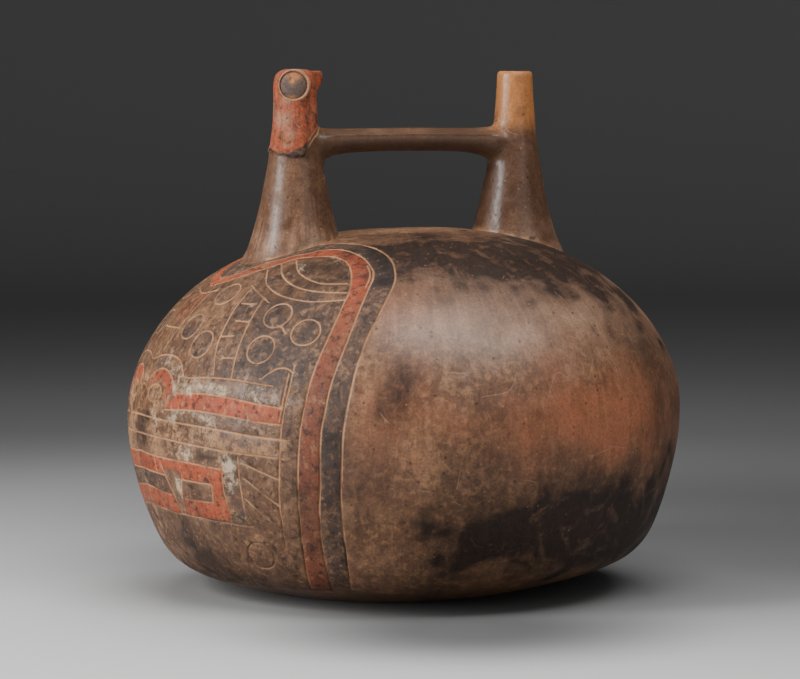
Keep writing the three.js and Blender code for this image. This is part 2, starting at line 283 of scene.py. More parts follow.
def rounded(pairs, step):
    """Evenly spaced points of the smooth curve through a few points.

    Each stretch is a cubic whose slope at a point is half the step between that point's neighbours.
    """
    points = arrays(pairs)
    before = np.vstack([2 * points[0] - points[1], points, 2 * points[-1] - points[-2]])
    share = np.linspace(0, 1, 24, endpoint=False)[:, None, None]
    first, second, third, last = before[:-3], before[1:-2], before[2:-1], before[3:]
    slope, next_slope = (third - first) / 2, (last - second) / 2
    curve = (
        (2 * share**3 - 3 * share**2 + 1) * second
        + (share**3 - 2 * share**2 + share) * slope
        + (3 * share**2 - 2 * share**3) * third
        + (share**3 - share**2) * next_slope
    )
    curve = np.vstack([curve.transpose(1, 0, 2).reshape(-1, points.shape[1]), points[-1:]])
    travelled = travel(curve)
    stops = np.linspace(0, travelled[-1], max(2, int(round(travelled[-1] / step)) + 1))
    return np.stack([np.interp(stops, travelled, axis) for axis in curve.T], axis=1)


def body_outline():
    """The body's outline from the middle of the foot to the top, as radius, height and distance.

    The wall below the widest ring is a smooth curve through a few points. Above it both the radius
    and the rise are powers of the cosine and sine of one angle. The whole line is then softened by a
    bell-shaped average, and distances are counted from the widest ring, upwards positive.
    """
    lower = rounded(LOWER_OUTLINE, OUTLINE_STEP)
    turn = np.linspace(0, math.pi / 2, 400)
    dome = np.stack([
        WIDEST_RADIUS * np.cos(turn).clip(0) ** DOME_WIDTH_POWER,
        WIDEST_HEIGHT + (BODY_HEIGHT - WIDEST_HEIGHT) * np.sin(turn) ** DOME_HEIGHT_POWER,
    ], axis=1)
    line = np.vstack([[(0, 0)], lower, dome[1:]])
    travelled = travel(line)
    stops = np.arange(0, travelled[-1], OUTLINE_STEP)
    radius, height = (np.interp(stops, travelled, values) for values in line.T)
    reach = int(4 * OUTLINE_SOFTNESS / OUTLINE_STEP)
    bell = np.exp(-0.5 * (np.arange(-reach, reach + 1) * OUTLINE_STEP / OUTLINE_SOFTNESS) ** 2)
    bell /= bell.sum()
    radius = np.concatenate([-radius[reach:0:-1], radius, -radius[-2:-reach - 2:-1]])
    height = np.concatenate([height[reach:0:-1], height, height[-2:-reach - 2:-1]])
    radius, height = np.convolve(radius, bell, "valid"), np.convolve(height, bell, "valid")
    distance = stops - stops[radius.argmax()]
    radius[[0, -1]] = 0
    return radius, height, distance


OUTLINE_RADIUS, OUTLINE_HEIGHT, OUTLINE_DISTANCE = body_outline()
FOOT_DISTANCE = OUTLINE_DISTANCE[0]
TOP_DISTANCE = OUTLINE_DISTANCE[-1]


def lean_matrix():
    """The turn of the body about a level axis, square to the direction that it leans in."""
    x, y = -math.sin(LEAN_AZIMUTH), math.cos(LEAN_AZIMUTH)
    cross = np.array([[0, 0, y], [0, 0, -x], [-y, x, 0]])
    return np.eye(3) + math.sin(LEAN) * cross + (1 - math.cos(LEAN)) * cross @ cross


LEAN_TURN = lean_matrix()
RING_SHIFT = WIDEST_HEIGHT * math.sin(LEAN)
LEAN_SHIFT = np.array([
    -math.cos(LEAN_AZIMUTH) * RING_SHIFT,
    -math.sin(LEAN_AZIMUTH) * RING_SHIFT,
    -SINK,
])


def leaned(points):
    """Points of the upright body, turned and shifted to where the leaning body has them."""
    return points @ LEAN_TURN.T + LEAN_SHIFT


def upright(points):
    """The same the other way: points of the leaning body, as they lie on the upright one."""
    return (points - LEAN_SHIFT) @ LEAN_TURN


def on_body(places, lift=0.0):
    """Points of the upright body from degrees and distances, moved out along the wall's normal."""
    degrees, distance = places[:, 0], places[:, 1]
    radius = np.interp(distance, OUTLINE_DISTANCE, OUTLINE_RADIUS)
    height = np.interp(distance, OUTLINE_DISTANCE, OUTLINE_HEIGHT)
    run = np.interp(distance, OUTLINE_DISTANCE, np.gradient(OUTLINE_RADIUS, OUTLINE_DISTANCE))
    climb = np.interp(distance, OUTLINE_DISTANCE, np.gradient(OUTLINE_HEIGHT, OUTLINE_DISTANCE))
    angle = np.radians(180 + degrees)
    across = radius + climb * lift
    return np.stack([across * np.cos(angle), across * np.sin(angle), height - run * lift], axis=1)


def body_places(points):
    """Degrees and distances of points near the upright body, from their angle about its inside."""
    degrees = (np.degrees(np.arctan2(points[:, 1], points[:, 0])) + 360) % 360 - 180
    middle = WIDEST_HEIGHT * 0.9
    outline_angle = np.arctan2(OUTLINE_HEIGHT - middle, OUTLINE_RADIUS)
    angle = np.arctan2(points[:, 2] - middle, np.hypot(points[:, 0], points[:, 1]))
    return np.stack([degrees, np.interp(angle, outline_angle, OUTLINE_DISTANCE)], axis=1)


def ripples(points, size, seed, count=14):
    """Smooth unevenness from -1 to 1: the sum of a few sine waves of one length in all directions."""
    random = np.random.default_rng(seed)
    waves = random.normal(size=(3, count))
    waves *= 2 * math.pi / (size * np.linalg.norm(waves, axis=0))
    phases = random.uniform(0, 2 * math.pi, count)
    return np.sin(points @ waves + phases).sum(axis=1) * math.sqrt(2 / count) / 2


def step_up(value, low, high):
    """Zero below low, one above high and an S-shaped cubic between them."""
    share = np.clip((value - low) / (high - low), 0, 1)
    return share * share * (3 - 2 * share)


def inside(places, outline):
    """Which places lie inside an outline: those from which a level line meets its sides oddly often."""
    across, along = places[:, 0], places[:, 1]
    odd = np.zeros(len(places), bool)
    corners = arrays(outline)
    for (x, y), (next_x, next_y) in zip(corners, np.roll(corners, -1, axis=0)):
        if y != next_y:
            meets = (y > along) != (next_y > along)
            odd ^= meets & (across < (next_x - x) * (along - y) / (next_y - y) + x)
    return odd


def distance_to(points, path):
    """Each point's distance to a path of straight stretches, found only near the path."""
    nearest = np.full(len(points), 9.0)
    margin = 4.0
    low, high = path.min(axis=0) - margin, path.max(axis=0) + margin
    index = np.flatnonzero(np.all((points > low) & (points < high), axis=1))
    starts, sides = path[:-1], np.diff(path, axis=0)
    squares = (sides**2).sum(axis=1).clip(1e-9)
    for chunk in np.array_split(index, max(1, len(index) // 2000)):
        offset = points[chunk][:, None, :] - starts
        share = ((offset * sides).sum(axis=2) / squares).clip(0, 1)
        gap = offset - share[:, :, None] * sides
        nearest[chunk] = np.sqrt((gap**2).sum(axis=2).min(axis=1))
    return nearest


def mirrored(stroke):
    """The stroke on the panel's other side."""
    return stroke * [-1, 1]


def round_stroke(centre, half_width, half_height):
    """A closed oval of places; its half width in millimetres becomes degrees at its own height."""
    turn = np.linspace(0, 2 * math.pi, 33)
    width = half_width * math.degrees(1 / np.interp(centre[1], OUTLINE_DISTANCE, OUTLINE_RADIUS))
    return np.stack([centre[0] + width * np.cos(turn), centre[1] + half_height * np.sin(turn)], axis=1)


def even_stroke(places, step=STROKE_STEP):
    """A stroke's places set at even steps along the wall."""
    fine = rounded(places, 0.5)
    travelled = travel(on_body(fine))
    stops = np.linspace(0, travelled[-1], max(2, int(travelled[-1] / step) + 1))
    return np.stack([np.interp(stops, travelled, axis) for axis in fine.T], axis=1)


def panel_strokes():
    """Every incised line of the panel, on both sides, as places on the wall."""
    open_lines = BORDERS + FINE_BORDERS + EYE_LINES + CHEEK_LINES + BROW_LINES + FACE_LINES
    half = [even_stroke(stroke) for stroke in open_lines]
    half += [even_stroke(round_stroke(centre, CIRCLE_RADIUS, CIRCLE_RADIUS)) for centre in CIRCLES]
    half.append(even_stroke(round_stroke(NOSTRIL, CIRCLE_RADIUS, NOSTRIL_HALF_HEIGHT)))
    return half + [mirrored(stroke) for stroke in half]


def spout_radius(outline, height):
    """A spout's radius at a height."""
    line = rounded(outline, 0.5)
    return np.interp(height, line[:, 1], line[:, 0])


def seam_stroke(axis_x, outline):
    """Where a spout meets the body: places on the wall round its foot, found by a few closer guesses."""
    turn = np.linspace(0, 2 * math.pi, 120)
    height = np.full(turn.shape, float(SPOUT_SKIN))
    above = slice(np.argmax(OUTLINE_RADIUS), None)
    for _ in range(12):
        radius = spout_radius(outline, height)
        points = np.stack([axis_x + radius * np.cos(turn), radius * np.sin(turn), height], axis=1)
        stood = upright(points)
        across = np.hypot(stood[:, 0], stood[:, 1])
        wall_height = np.interp(across, OUTLINE_RADIUS[above][::-1], OUTLINE_HEIGHT[above][::-1])
        wall = np.stack([stood[:, 0], stood[:, 1], wall_height], axis=1)
        height = leaned(wall)[:, 2]
    return body_places(wall), leaned(wall)


def rails(stroke, offsets):
    """Rows of places beside a stroke, each a stroke moved sideways by an offset on the wall."""
    scale = np.degrees(1 / np.interp(stroke[:, 1], OUTLINE_DISTANCE, OUTLINE_RADIUS).clip(5))
    along = np.gradient(stroke, axis=0) / np.stack([scale, np.ones(len(stroke))], axis=1)
    along /= np.linalg.norm(along, axis=1, keepdims=True).clip(1e-9)
    side = np.stack([-along[:, 1] * scale, along[:, 0]], axis=1)
    signed = sorted({sign * offset for offset in offsets for sign in (-1, 1)})
    return np.vstack([stroke + side * offset for offset in signed])


def thinned(places, cell):
    """One place for each small square of the wall."""
    radius = np.interp(places[:, 1], OUTLINE_DISTANCE, OUTLINE_RADIUS)
    squares = np.stack([np.radians(places[:, 0]) * radius, places[:, 1]], axis=1) / cell
    kept = np.unique(np.round(squares).astype(int), axis=0, return_index=True)[1]
    return places[np.sort(kept)]


def body_grid():
    """Places over the whole wall: rings at even distances, each with even steps round it."""
    distances = np.arange(FOOT_DISTANCE + FOOT_RIM, TOP_DISTANCE - 1.5, BODY_GRID)
    radii = np.interp(distances, OUTLINE_DISTANCE, OUTLINE_RADIUS)
    counts = np.maximum(12, np.round(2 * math.pi * radii / BODY_GRID)).astype(int)
    ring = np.repeat(np.arange(len(distances)), counts)
    place = np.arange(counts.sum()) - np.repeat(np.cumsum(counts) - counts, counts)
    degrees = (place + 0.5 * (ring % 2)) / counts[ring] * 360 - 180
    return np.stack([degrees, distances[ring]], axis=1), counts[0]


def wall_map(places):
    """A flat map of the wall that keeps angles true.

    The map's radius grows by the same share as a step along the wall is of the wall's radius, so the
    body opens out round its top like a flower, with the foot outermost.
    """
    order = slice(None, None, -1)
    distance = OUTLINE_DISTANCE[order][2:]
    radius = OUTLINE_RADIUS[order][2:].clip(OUTLINE_STEP)
    growth = np.concatenate([[0], np.cumsum(OUTLINE_STEP / ((radius[1:] + radius[:-1]) / 2))])
    spread = np.interp(-places[:, 1], -distance, radius[0] * np.exp(growth))
    angle = np.radians(places[:, 0])
    return np.stack([spread * np.cos(angle), spread * np.sin(angle)], axis=1)


def body_surface(sizes, strokes, seams, scratches):
    """The body's wall: places on a grid and beside every stroke, joined by triangles in the flat map.

    A point's depth is the groove's depth times the square of one less the square of its distance from
    the nearest stroke over the groove's half width. Slow ripples make the wall uneven by hand's width.
    """
    grid, rim_count = body_grid()
    lines = thinned(np.vstack([rails(stroke, RAIL_OFFSETS) for stroke in strokes]), 0.26)
    feet = thinned(np.vstack([rails(seam, SEAM_OFFSETS) for seam in seams]), 0.3)
    nicks = thinned(np.vstack([rails(scratch, SCRATCH_OFFSETS) for scratch in scratches]), 0.14)
    fine_paths = [on_body(path) for path in strokes + seams + scratches]
    points = on_body(grid)
    clear = np.ones(len(grid), bool)
    for path in fine_paths:
        clear &= distance_to(points, path) > 1.3
    clear[:rim_count] = True
    places = np.vstack([grid[clear], lines, feet, nicks, [(0, TOP_DISTANCE)]])
    flat = wall_map(places)
    triangles = delaunay_2d_cdt(flat.tolist(), [], [], 0, 1e-6, True)
    order = np.array([group[0] for group in triangles[3]])
    places = places[order]
    wall = on_body(places)
    depth = np.zeros(len(places))
    for stroke in strokes:
        gap = distance_to(wall, on_body(stroke))
        wear = 0.82 + 0.35 * ripples(wall, 23, SEED + 1)
        cut = np.clip(1 - (gap / (sizes.groove_width / MM / 2)) ** 2, 0, 1) ** 2
        depth = np.maximum(depth, cut * wear * sizes.groove_depth / MM)
    for scratch in scratches:
        nick = np.clip(1 - (distance_to(wall, on_body(scratch)) / SCRATCH_HALF_WIDTH) ** 2, 0, 1)
        depth = np.maximum(depth, SCRATCH_DEPTH * nick)
    uneven = UNEVENNESS * (ripples(wall, 70, SEED) + 0.4 * ripples(wall, 26, SEED + 2))
    uneven *= step_up(places[:, 1], FOOT_DISTANCE + FOOT_RIM, FOOT_DISTANCE + 2 * FOOT_RIM)
    points = leaned(on_body(places, uneven - depth))
    points[:, 2] = points[:, 2].clip(0)
    middle = len(points)
    rim = np.flatnonzero(places[:, 1] < FOOT_DISTANCE + FOOT_RIM + 0.01)
    rim = rim[np.argsort(places[rim, 0])]
    foot = np.stack([np.roll(rim, -1), rim, np.full(len(rim), middle)], axis=1)
    faces = triangles[2] + foot.tolist()
    return np.vstack([points, leaned(np.array([[0, 0, 0]])) * [1, 1, 0]]), faces


def closed_tube(rings):
    """Corners and faces of a skin over a stack of closed rings, with a middle point at each end."""
    rows, columns = rings.shape[:2]
    corners = np.vstack([rings.reshape(-1, 3), rings[0].mean(axis=0), rings[-1].mean(axis=0)])
    index = np.arange(rows * columns).reshape(rows, columns)
    beside = np.roll(index, -1, axis=1)
    sides = np.stack([index[:-1], beside[:-1], beside[1:], index[1:]], axis=-1).reshape(-1, 4)
    first = np.stack([np.full(columns, rows * columns), beside[0], index[0]], axis=1)
    last = np.stack([np.full(columns, rows * columns + 1), index[-1], beside[-1]], axis=1)
    return corners, sides.tolist() + first.tolist() + last.tolist()


def mesh_object(name, points, faces):
    """A mesh object in metres, its faces turned outwards if the volume inside them comes out negative."""
    mesh = bpy.data.meshes.new(name)
    mesh.from_pydata((np.asarray(points) * MM).tolist(), [], faces)
    mesh.calc_loop_triangles()
    corners = np.zeros(len(mesh.loop_triangles) * 3, np.int32)
    mesh.loop_triangles.foreach_get("vertices", corners)
    a, b, c = np.asarray(points)[corners.reshape(-1, 3)].transpose(1, 0, 2)
    if (a * np.cross(b, c)).sum() < 0:
        mesh.flip_normals()
    piece = bpy.data.objects.new(name, mesh)
    bpy.context.scene.collection.objects.link(piece)
    return piece


def turned(name, outline, x, columns, shape=None, drift=0.0):
    """A solid of revolution: every row's radius is the outline's, changed by a shape of row and turn.

    The drift moves the rows sideways as they rise, in an S curve from the dome to the tip.
    """
    turn = np.linspace(0, 2 * math.pi, columns, endpoint=False)
    radius = np.repeat(outline[:, :1], columns, axis=1)
    height = np.repeat(outline[:, 1:], columns, axis=1)
    if shape is not None:
        radius = shape(radius, height, np.degrees(turn))
    x = x + drift * step_up(height, *DRIFT_HEIGHTS)
    rings = np.stack([x + radius * np.cos(turn), radius * np.sin(turn), height], axis=2)
    return mesh_object(name, *closed_tube(rings))


def open_spout():
    """The open spout: its outline turned about its axis, with faint facets left by the burnishing."""
    outline = rounded(OPEN_SPOUT + OPEN_TIP, 1.0)

    def shape(radius, height, degrees):
        turn = np.radians(degrees)
        wide, narrow = np.sin(5 * turn + height / 40), np.sin(8 * turn - height / 23)
        return radius * (1 + 0.006 * wide + 0.004 * narrow)

    return turned("open spout", outline, OPEN_X, 72, shape, OPEN_DRIFT)


def from_bridge(degrees):
    """Degrees away from the bridge's direction, from 0 to 180 either way."""
    return np.abs((degrees + 180) % 360 - 180)


def collar_height(degrees, pairs):
    """The height of an edge of the collar, given as pairs, at a turn round the blind spout."""
    line = arrays(pairs)
    return np.interp(from_bridge(degrees), line[:, 0], line[:, 1])


def blind_spout():
    """The blind spout and the head's neck in one skin.

    Below the collar's edge the radius is the spout's. Above it it is the head's, made fuller by the
    collar's step, which fades upwards by a falling exponential. The edge itself is a steep S curve,
    broken by small ripples.
    """
    spout_line, head_line = rounded(BLIND_SPOUT, 1.2), rounded(HEAD_OUTLINE, 0.45)
    low = spout_line[spout_line[:, 1] < HEAD_OUTLINE[0][1]]
    outline = np.vstack([low, head_line])

    def shape(radius, height, degrees):
        turn = np.radians(np.broadcast_to(degrees, height.shape))
        places = np.stack([9 * np.cos(turn), 9 * np.sin(turn), height], axis=-1).reshape(-1, 3)
        broken = ripples(places, 4.5, SEED + 3).reshape(height.shape)
        edge = collar_height(degrees, COLLAR_EDGE) + 0.25 * broken
        spout = np.interp(height, spout_line[:, 1], spout_line[:, 0])
        head = np.interp(height, head_line[:, 1], head_line[:, 0])
        fade = np.exp(-np.clip(height - edge, 0, None) / COLLAR_FADE)
        away = step_up(from_bridge(degrees), 50, 85)
        collar = np.maximum(head, spout * step_up(-height, -162, -150) + COLLAR_STEP * fade * away)
        above = step_up(height, edge - 0.35, edge + 0.35)
        facets = 1 + 0.005 * np.sin(6 * turn + height / 31)
        return (spout * (1 - above) + collar * above) * facets

    return turned("blind spout", outline, BLIND_X, 132, shape)


def bridge_section(along, above):
    """The bridge's level, half depth and half height at distances from its middle, above or below it.

    The halves grow by a falling exponential of the distance from each spout.
    """
    gap = (BRIDGE_HALF - SPOUT_WAIST - np.abs(along)).clip(0)
    flare = BRIDGE_FLARE * np.exp(-gap / BRIDGE_FLARE_LENGTH)
    level = BRIDGE_LEVEL + BRIDGE_RISE * (1 - (along / BRIDGE_HALF) ** 2)
    height = BRIDGE_HALF_HEIGHT + flare * np.where(above, 0.35, 1.15)
    return level, BRIDGE_HALF_DEPTH + flare * 0.45, height


def bridge():
    """The bridge: an oval section carried from spout to spout.

    A narrow bell lifts a low ridge along each side where the sloping upper facet ends.
    """
    along = -np.cos(np.linspace(0, math.pi, 96)) * (BRIDGE_HALF - 3)
    turn = np.linspace(0, 2 * math.pi, 72, endpoint=False)
    ridge = np.exp(-((turn - RIDGE_ANGLE) / RIDGE_WIDTH) ** 2)
    ridge += np.exp(-((turn - math.pi + RIDGE_ANGLE) / RIDGE_WIDTH) ** 2)
    facet = step_up(np.sin(turn), 0.42, 0.5) * (1 - step_up(np.sin(turn), 0.8, 1.0))
    fullness = RIDGE_LIFT * ridge - 0.3 * facet
    x = np.repeat(along[:, None], len(turn), axis=1)
    level, depth, height = bridge_section(x, np.sin(turn) > 0)
    across, rise = (depth + fullness) * np.cos(turn), (height + fullness) * np.sin(turn)
    rings = np.stack([BRIDGE_MIDDLE + x, across, level + rise], axis=2)
    return mesh_object("bridge", *closed_tube(rings))


def eye_frame(azimuth):
    """The eye's middle, the way that it faces and its level direction, to the right as one looks at it."""
    turn = math.radians(azimuth)
    out = np.array([math.cos(turn), math.sin(turn), 0])
    right = np.array([-math.sin(turn), math.cos(turn), 0])
    return np.array([BLIND_X, 0, EYE_LEVEL]) + out * EYE_REACH, out, right


def eye(azimuth):
    """A pellet eye on one side of the head, in rings round its own axis.

    From outside in: the raised ring's outer wall, its crest, the groove inside it and the domed
    button, whose height falls with the square of the distance from its middle. A small bell-shaped pit
    is pressed in off the middle.
    """
    turn = np.linspace(0, 2 * math.pi, 64, endpoint=False)
    crest = [(0, -4.2), (0, 0.2), (0.1, 0.65), (0.3, 0.85), (0.5, 0.8), (0.7, 0.5)]
    line = [(EYE_RADIUS - inset, lift) for inset, lift in crest]
    line += [(BUTTON_RADIUS, 0.28), (BUTTON_RADIUS - 0.12, 0.4)]
    dome = np.linspace(BUTTON_RADIUS - 0.25, 0.12, 16)
    line = arrays(line + [(out, 0.45 + 1.2 * (1 - (out / BUTTON_RADIUS) ** 2)) for out in dome])
    radius = np.repeat(line[:, :1], len(turn), axis=1)
    lift = np.repeat(line[:, 1:], len(turn), axis=1)
    ring = step_up(radius, BUTTON_RADIUS + 0.2, EYE_RADIUS)
    radius = radius + ring * (0.12 + 0.28 * np.cos(turn))
    radius += ring * 0.07 * np.sin(7 * turn) * (np.cos(turn) > 0)
    across, up = radius * np.cos(turn), radius * np.sin(turn)
    pit = np.exp(-((across + 0.8) ** 2 + (up - 2) ** 2) / 0.36)
    lift = lift - 0.6 * pit
    centre, out, right = eye_frame(azimuth)
    rings = centre + lift[..., None] * out + across[..., None] * right
    rings[..., 2] += up
    return mesh_object("eye", *closed_tube(rings))


def beak():
    """The blunt beak: level rings with rounded corners, stacked up to its flat top.

    Each ring is a squared circle, whose two coordinates are a circle's, raised to one power.
    """
    line = rounded(BEAK_FRONT, 0.5)
    turn = np.linspace(0, 2 * math.pi, 48, endpoint=False)
    crown = np.array([[line[-1, 0] - 0.5, BEAK_TOP + 0.1]])
    line = np.vstack([line, crown])
    inset = np.zeros(len(line))
    inset[-1] = 0.5

    def squared(value):
        return np.sign(value) * np.abs(value) ** BEAK_SQUARENESS

    half_length = (line[:, 0] - BEAK_BACK) / 2
    x = BLIND_X + BEAK_BACK + half_length[:, None] * (1 + squared(np.cos(turn)))
    narrow = 0.86 + 0.14 * step_up(line[:, 1], 169, 174)
    y = (BEAK_HALF_WIDTH * narrow - inset)[:, None] * squared(np.sin(turn))
    z = np.repeat(line[:, 1:], len(turn), axis=1)
    return mesh_object("beak", *closed_tube(np.stack([x, y, z], axis=2)))


def cavity():
    """The hollow inside: the body's outline moved in by the wall, turned and leaned with the body."""
    distance = np.linspace(FOOT_DISTANCE + 2, TOP_DISTANCE - 2, 60)
    degrees = np.linspace(0, 360, 72, endpoint=False)
    places = np.stack(np.meshgrid(degrees, distance), axis=-1)
    rings = leaned(on_body(places.reshape(-1, 2), -WALL)).reshape(*places.shape[:2], 3)
    return mesh_object("cavity", *closed_tube(rings))


def fused(body, additions, hollows):
    """The body with every addition joined on and every hollow cut out, as one mesh."""
    for tool in additions + hollows:
        modifier = body.modifiers.new(tool.name, "BOOLEAN")
        modifier.operation = "UNION" if tool in additions else "DIFFERENCE"
        modifier.solver = "MANIFOLD"
        modifier.object = tool
    depsgraph = bpy.context.evaluated_depsgraph_get()
    mesh = bpy.data.meshes.new_from_object(body.evaluated_get(depsgraph))
    body.modifiers.clear()
    body.data = mesh
    for tool in additions + hollows:
        bpy.data.objects.remove(tool)
    return body


def mesh_points(mesh):
    """The places of a mesh's corners, in millimetres."""
    points = np.zeros(len(mesh.vertices) * 3)
    mesh.vertices.foreach_get("co", points)
    return points.reshape(-1, 3) / MM


def soften_joints(mesh):
    """Rounds the inner corners where the bridge meets the spouts, as a wet finger leaves them.

    Corners of the mesh near both surfaces move part of the way to the mean of their neighbours, again
    and again, by a share that falls off as a bell with the distance from the joint.
    """
    points = mesh_points(mesh)
    ends = np.zeros(len(mesh.edges) * 2, np.int32)
    mesh.edges.foreach_get("vertices", ends)
    first, second = ends.reshape(-1, 2).T
    along = points[:, 0] - BRIDGE_MIDDLE
    level = bridge_section(along, True)[0]
    above = points[:, 2] > level
    depth, height = bridge_section(along, above)[1:]
    oval = np.hypot(points[:, 1] / depth, (points[:, 2] - level) / height)
    bridge_gap = (oval - 1) * BRIDGE_HALF_HEIGHT
    gaps = [
        np.hypot(points[:, 0] - x, points[:, 1]) - spout_radius(outline, points[:, 2])
        for x, outline in ((OPEN_X, OPEN_SPOUT), (BLIND_X, BLIND_SPOUT))
    ]
    spout_gap = np.abs(gaps).min(axis=0)
    share = JOINT_STRENGTH * np.exp(-(bridge_gap**2 + spout_gap**2) / JOINT_REACH**2)
    share *= np.abs(along) < BRIDGE_HALF
    neighbours = np.bincount(ends, minlength=len(points)).clip(1)[:, None]
    for _ in range(JOINT_ROUNDS):
        total = np.zeros(points.shape)
        np.add.at(total, first, points[second])
        np.add.at(total, second, points[first])
        points += share[:, None] * (total / neighbours - points)
    mesh.vertices.foreach_set("co", (points * MM).ravel())
    mesh.update()


def round_area(centre, half_height=CIRCLE_RADIUS):
    """The outline of a round field, as one of its oval strokes has it."""
    return round_stroke(centre, CIRCLE_RADIUS, half_height).tolist()


def painted_areas():
    """The painted areas on one side of the panel, in the order that they are laid on.

    Each is a colour's name, how fully it covers, how chalky it is and its outline.
    """
    seam_top = [(0, 69), (4.2, 69.5), (18.8, 75.5), (24, 87.5)]
    panel = seam_top + OUTER_BORDER[1:] + [(0, PANEL_FLOOR)]
    band = BAND_OUTER + BAND_INNER[::-1]
    field = BAND_INNER + [(0, PANEL_FLOOR)]
    lobe = [(21, 65.5)] + BAND_INNER[4:15] + LID_LOWER[::-1]
    lid = LID_MIDDLE + LID_LOWER[::-1]
    socket = [
        (31, 48.5), (40, 49.8), (46, 48.7), (54.8, 49.5), (54, 42), (52, 29), (50.4, 18), (46, 17),
        (42, 16.3), (31.3, 18.4),
    ]
    cheek = [
        (5.5, 52), (14, 60), (21, 65), (24, 60), (30, 54), (31, 19), (17.7, 17.8), (14.5, 22.5),
        (8, 25), (4, 26),
    ]
    inner_cheek = [(23.2, 56), (30.5, 50), (31.4, 18.5), (26.3, 18.5), (24, 32), (23, 45)]
    nose_band = NOSE_OUTER + [(46, 16), (45.3, 9)] + NOSE_INNER[::-1]
    nose = [(0, 24)] + NOSE_INNER[:6] + [(14, 7), (12, 3.2), (0, 3.7)]
    nose_tip = [
        (3.2, 12), (3.5, 17.6), (7, 20), (10, 19.6), (12.5, 17.8), (14, 15.5), (15, 13), (12, 10),
        (9.8, 15.5), (6, 15),
    ]
    nose_bar = NOSE_INNER[7:] + NOSE_BAR[::-1]
    mouth_front = [
        (17.7, -14), (30, -12.5), (29.5, -20), (30, -29.5), (16.5, -28.7), (17.6, -23),
        (25.8, -23.5), (26.3, -17.1), (16.6, -16.3),
    ]
    upper_lip = LIP_A[::-1] + [(12, 4)] + NOSE_BAR
    middle_lip = LIP_A + LIP_B[::-1]
    lower_lip = LIP_B[:5] + LIP_C[::-1]
    teeth_upper = LIP_C + [(29.6, -15), (17.7, -14.5), (10.8, -15.6), (0, -14.7)]
    teeth_lower = [(0, -20.5), (12, -22.3), (14, -27), (14.5, -29), (0, -27)]
    mouth = [(0, -8.8), (14, -9.9), (30, -11.6), (29.5, -20), (30, -30), (16, -29), (0, -27)]
    fang = [(10.5, -13), (17.7, -14.5), (16.5, -20), (15.3, -29), (14.3, -29), (12.5, -20)]
    gap = [(0, -14.7), (10.8, -15.6), (12.2, -22.3), (0, -20.5)]
    cheek_bar = [(30.5, -7), (34.3, -7), (34, -29), (30, -30)]
    jaw = [(0, -27), (16, -29), (35, -31), (42.2, -38), (43, PANEL_FLOOR), (0, PANEL_FLOOR)]
    strip = [(0, 50.5), (5.5, 51.5), (5.5, 45), (4.8, 36), (4, 27), (0, 24)]
    brow = BAND_INNER[:4] + [(14, 60), (5.5, 52), (0, 50.5)]
    return [
        ("grey", 0.8, 0.25, panel),
        ("red", 0.95, 0.1, band),
        ("umber", 0.6, 0.2, field),
        ("umber", 0.55, 0.3, brow),
        ("umber", 0.7, 0.35, lobe),
        ("grey", 0.6, 0.25, lid),
        ("grey", 0.8, 0.25, socket),
        ("umber", 0.5, 0.35, cheek),
        ("grey", 0.6, 0.3, inner_cheek),
        ("grey", 0.55, 0.2, round_area(CIRCLES[0])),
        ("grey", 0.7, 0.2, round_area(CIRCLES[1])),
        ("grey", 0.7, 0.2, round_area(CIRCLES[2])),
        ("umber", 0.6, 0.2, strip),
        ("dull red", 0.55, 0.15, strip[:3] + [(5, 39), (0, 38)]),
        ("tan", 0.4, 0.4, nose),
        ("red", 0.95, 0.1, nose_tip),
        ("red", 0.97, 0.15, nose_bar),
        ("tan", 0.5, 0.35, round_area(NOSTRIL, NOSTRIL_HALF_HEIGHT)),
        ("grey", 0.5, 0.45, nose_band),
        ("umber", 0.55, 0.5, upper_lip),
        ("tan", 0.45, 0.3, middle_lip),
        ("tan", 0.45, 0.4, lower_lip),
        ("dull red", 0.85, 0.2, mouth),
        ("red", 0.85, 0.12, teeth_upper),
        ("red", 0.97, 0.1, mouth_front),
        ("grey", 0.8, 0.3, gap),
        ("red", 0.9, 0.2, teeth_lower),
        ("umber", 0.5, 0.55, fang),
        ("umber", 0.6, 0.45, TOOTH_TOP + TOOTH_BOTTOM[::-1]),
        ("grey", 0.7, 0.5, cheek_bar),
        ("umber", 0.6, 0.25, jaw),
    ]


# Soft spots of rubbed paint on the head, then of whitish deposit, darkened clay, warm blooms and pale
# clay on the body, the pale ones partly a painted sheen on the shoulders: degrees, distance or height,
# half width in degrees, half height and strength
HEAD_WEAR = [
    (-142, 160, 20, 2.6, 0.9), (-119, 155.2, 15, 1.6, 0.7), (-138, 166.4, 11, 1.1, 0.9),
    (-128, 151.5, 16, 0.8, 0.4), (110, 158, 22, 3, 0.8), (170, 165, 14, 3, 0.5),
    (20, 172, 16, 2, 0.5), (-60, 163, 12, 4, 0.3),
]
CHALK_SPOTS = [
    (20, 15.5, 6, 3.5, 0.75), (28, 15, 4, 2.5, 0.45), (37, 14, 6, 3, 0.4), (9, 23, 3.5, 2, 0.6),
    (12, 21, 2, 2, 0.6), (20, -7, 4, 3, 0.75), (26, -3, 4, 2, 0.35), (18, 5.5, 6, 2, 0.5),
    (30, 3.5, 8, 2, 0.35), (10, 2, 4, 2, 0.5), (16, -19, 1.6, 4, 0.8), (32, -18, 2, 8, 0.5),
    (32, -10, 3, 2, 0.45), (36, -9, 2, 1.5, 0.5), (46, 78, 4, 3, 0.3), (8, -34, 6, 5, 0.15),
    (35, 67, 5, 5, 0.3), (-18, 12, 6, 3, 0.6), (-34, 2, 8, 3, 0.4), (-25, -15, 5, 5, 0.4),
    (-45, 45, 6, 6, 0.25),
]
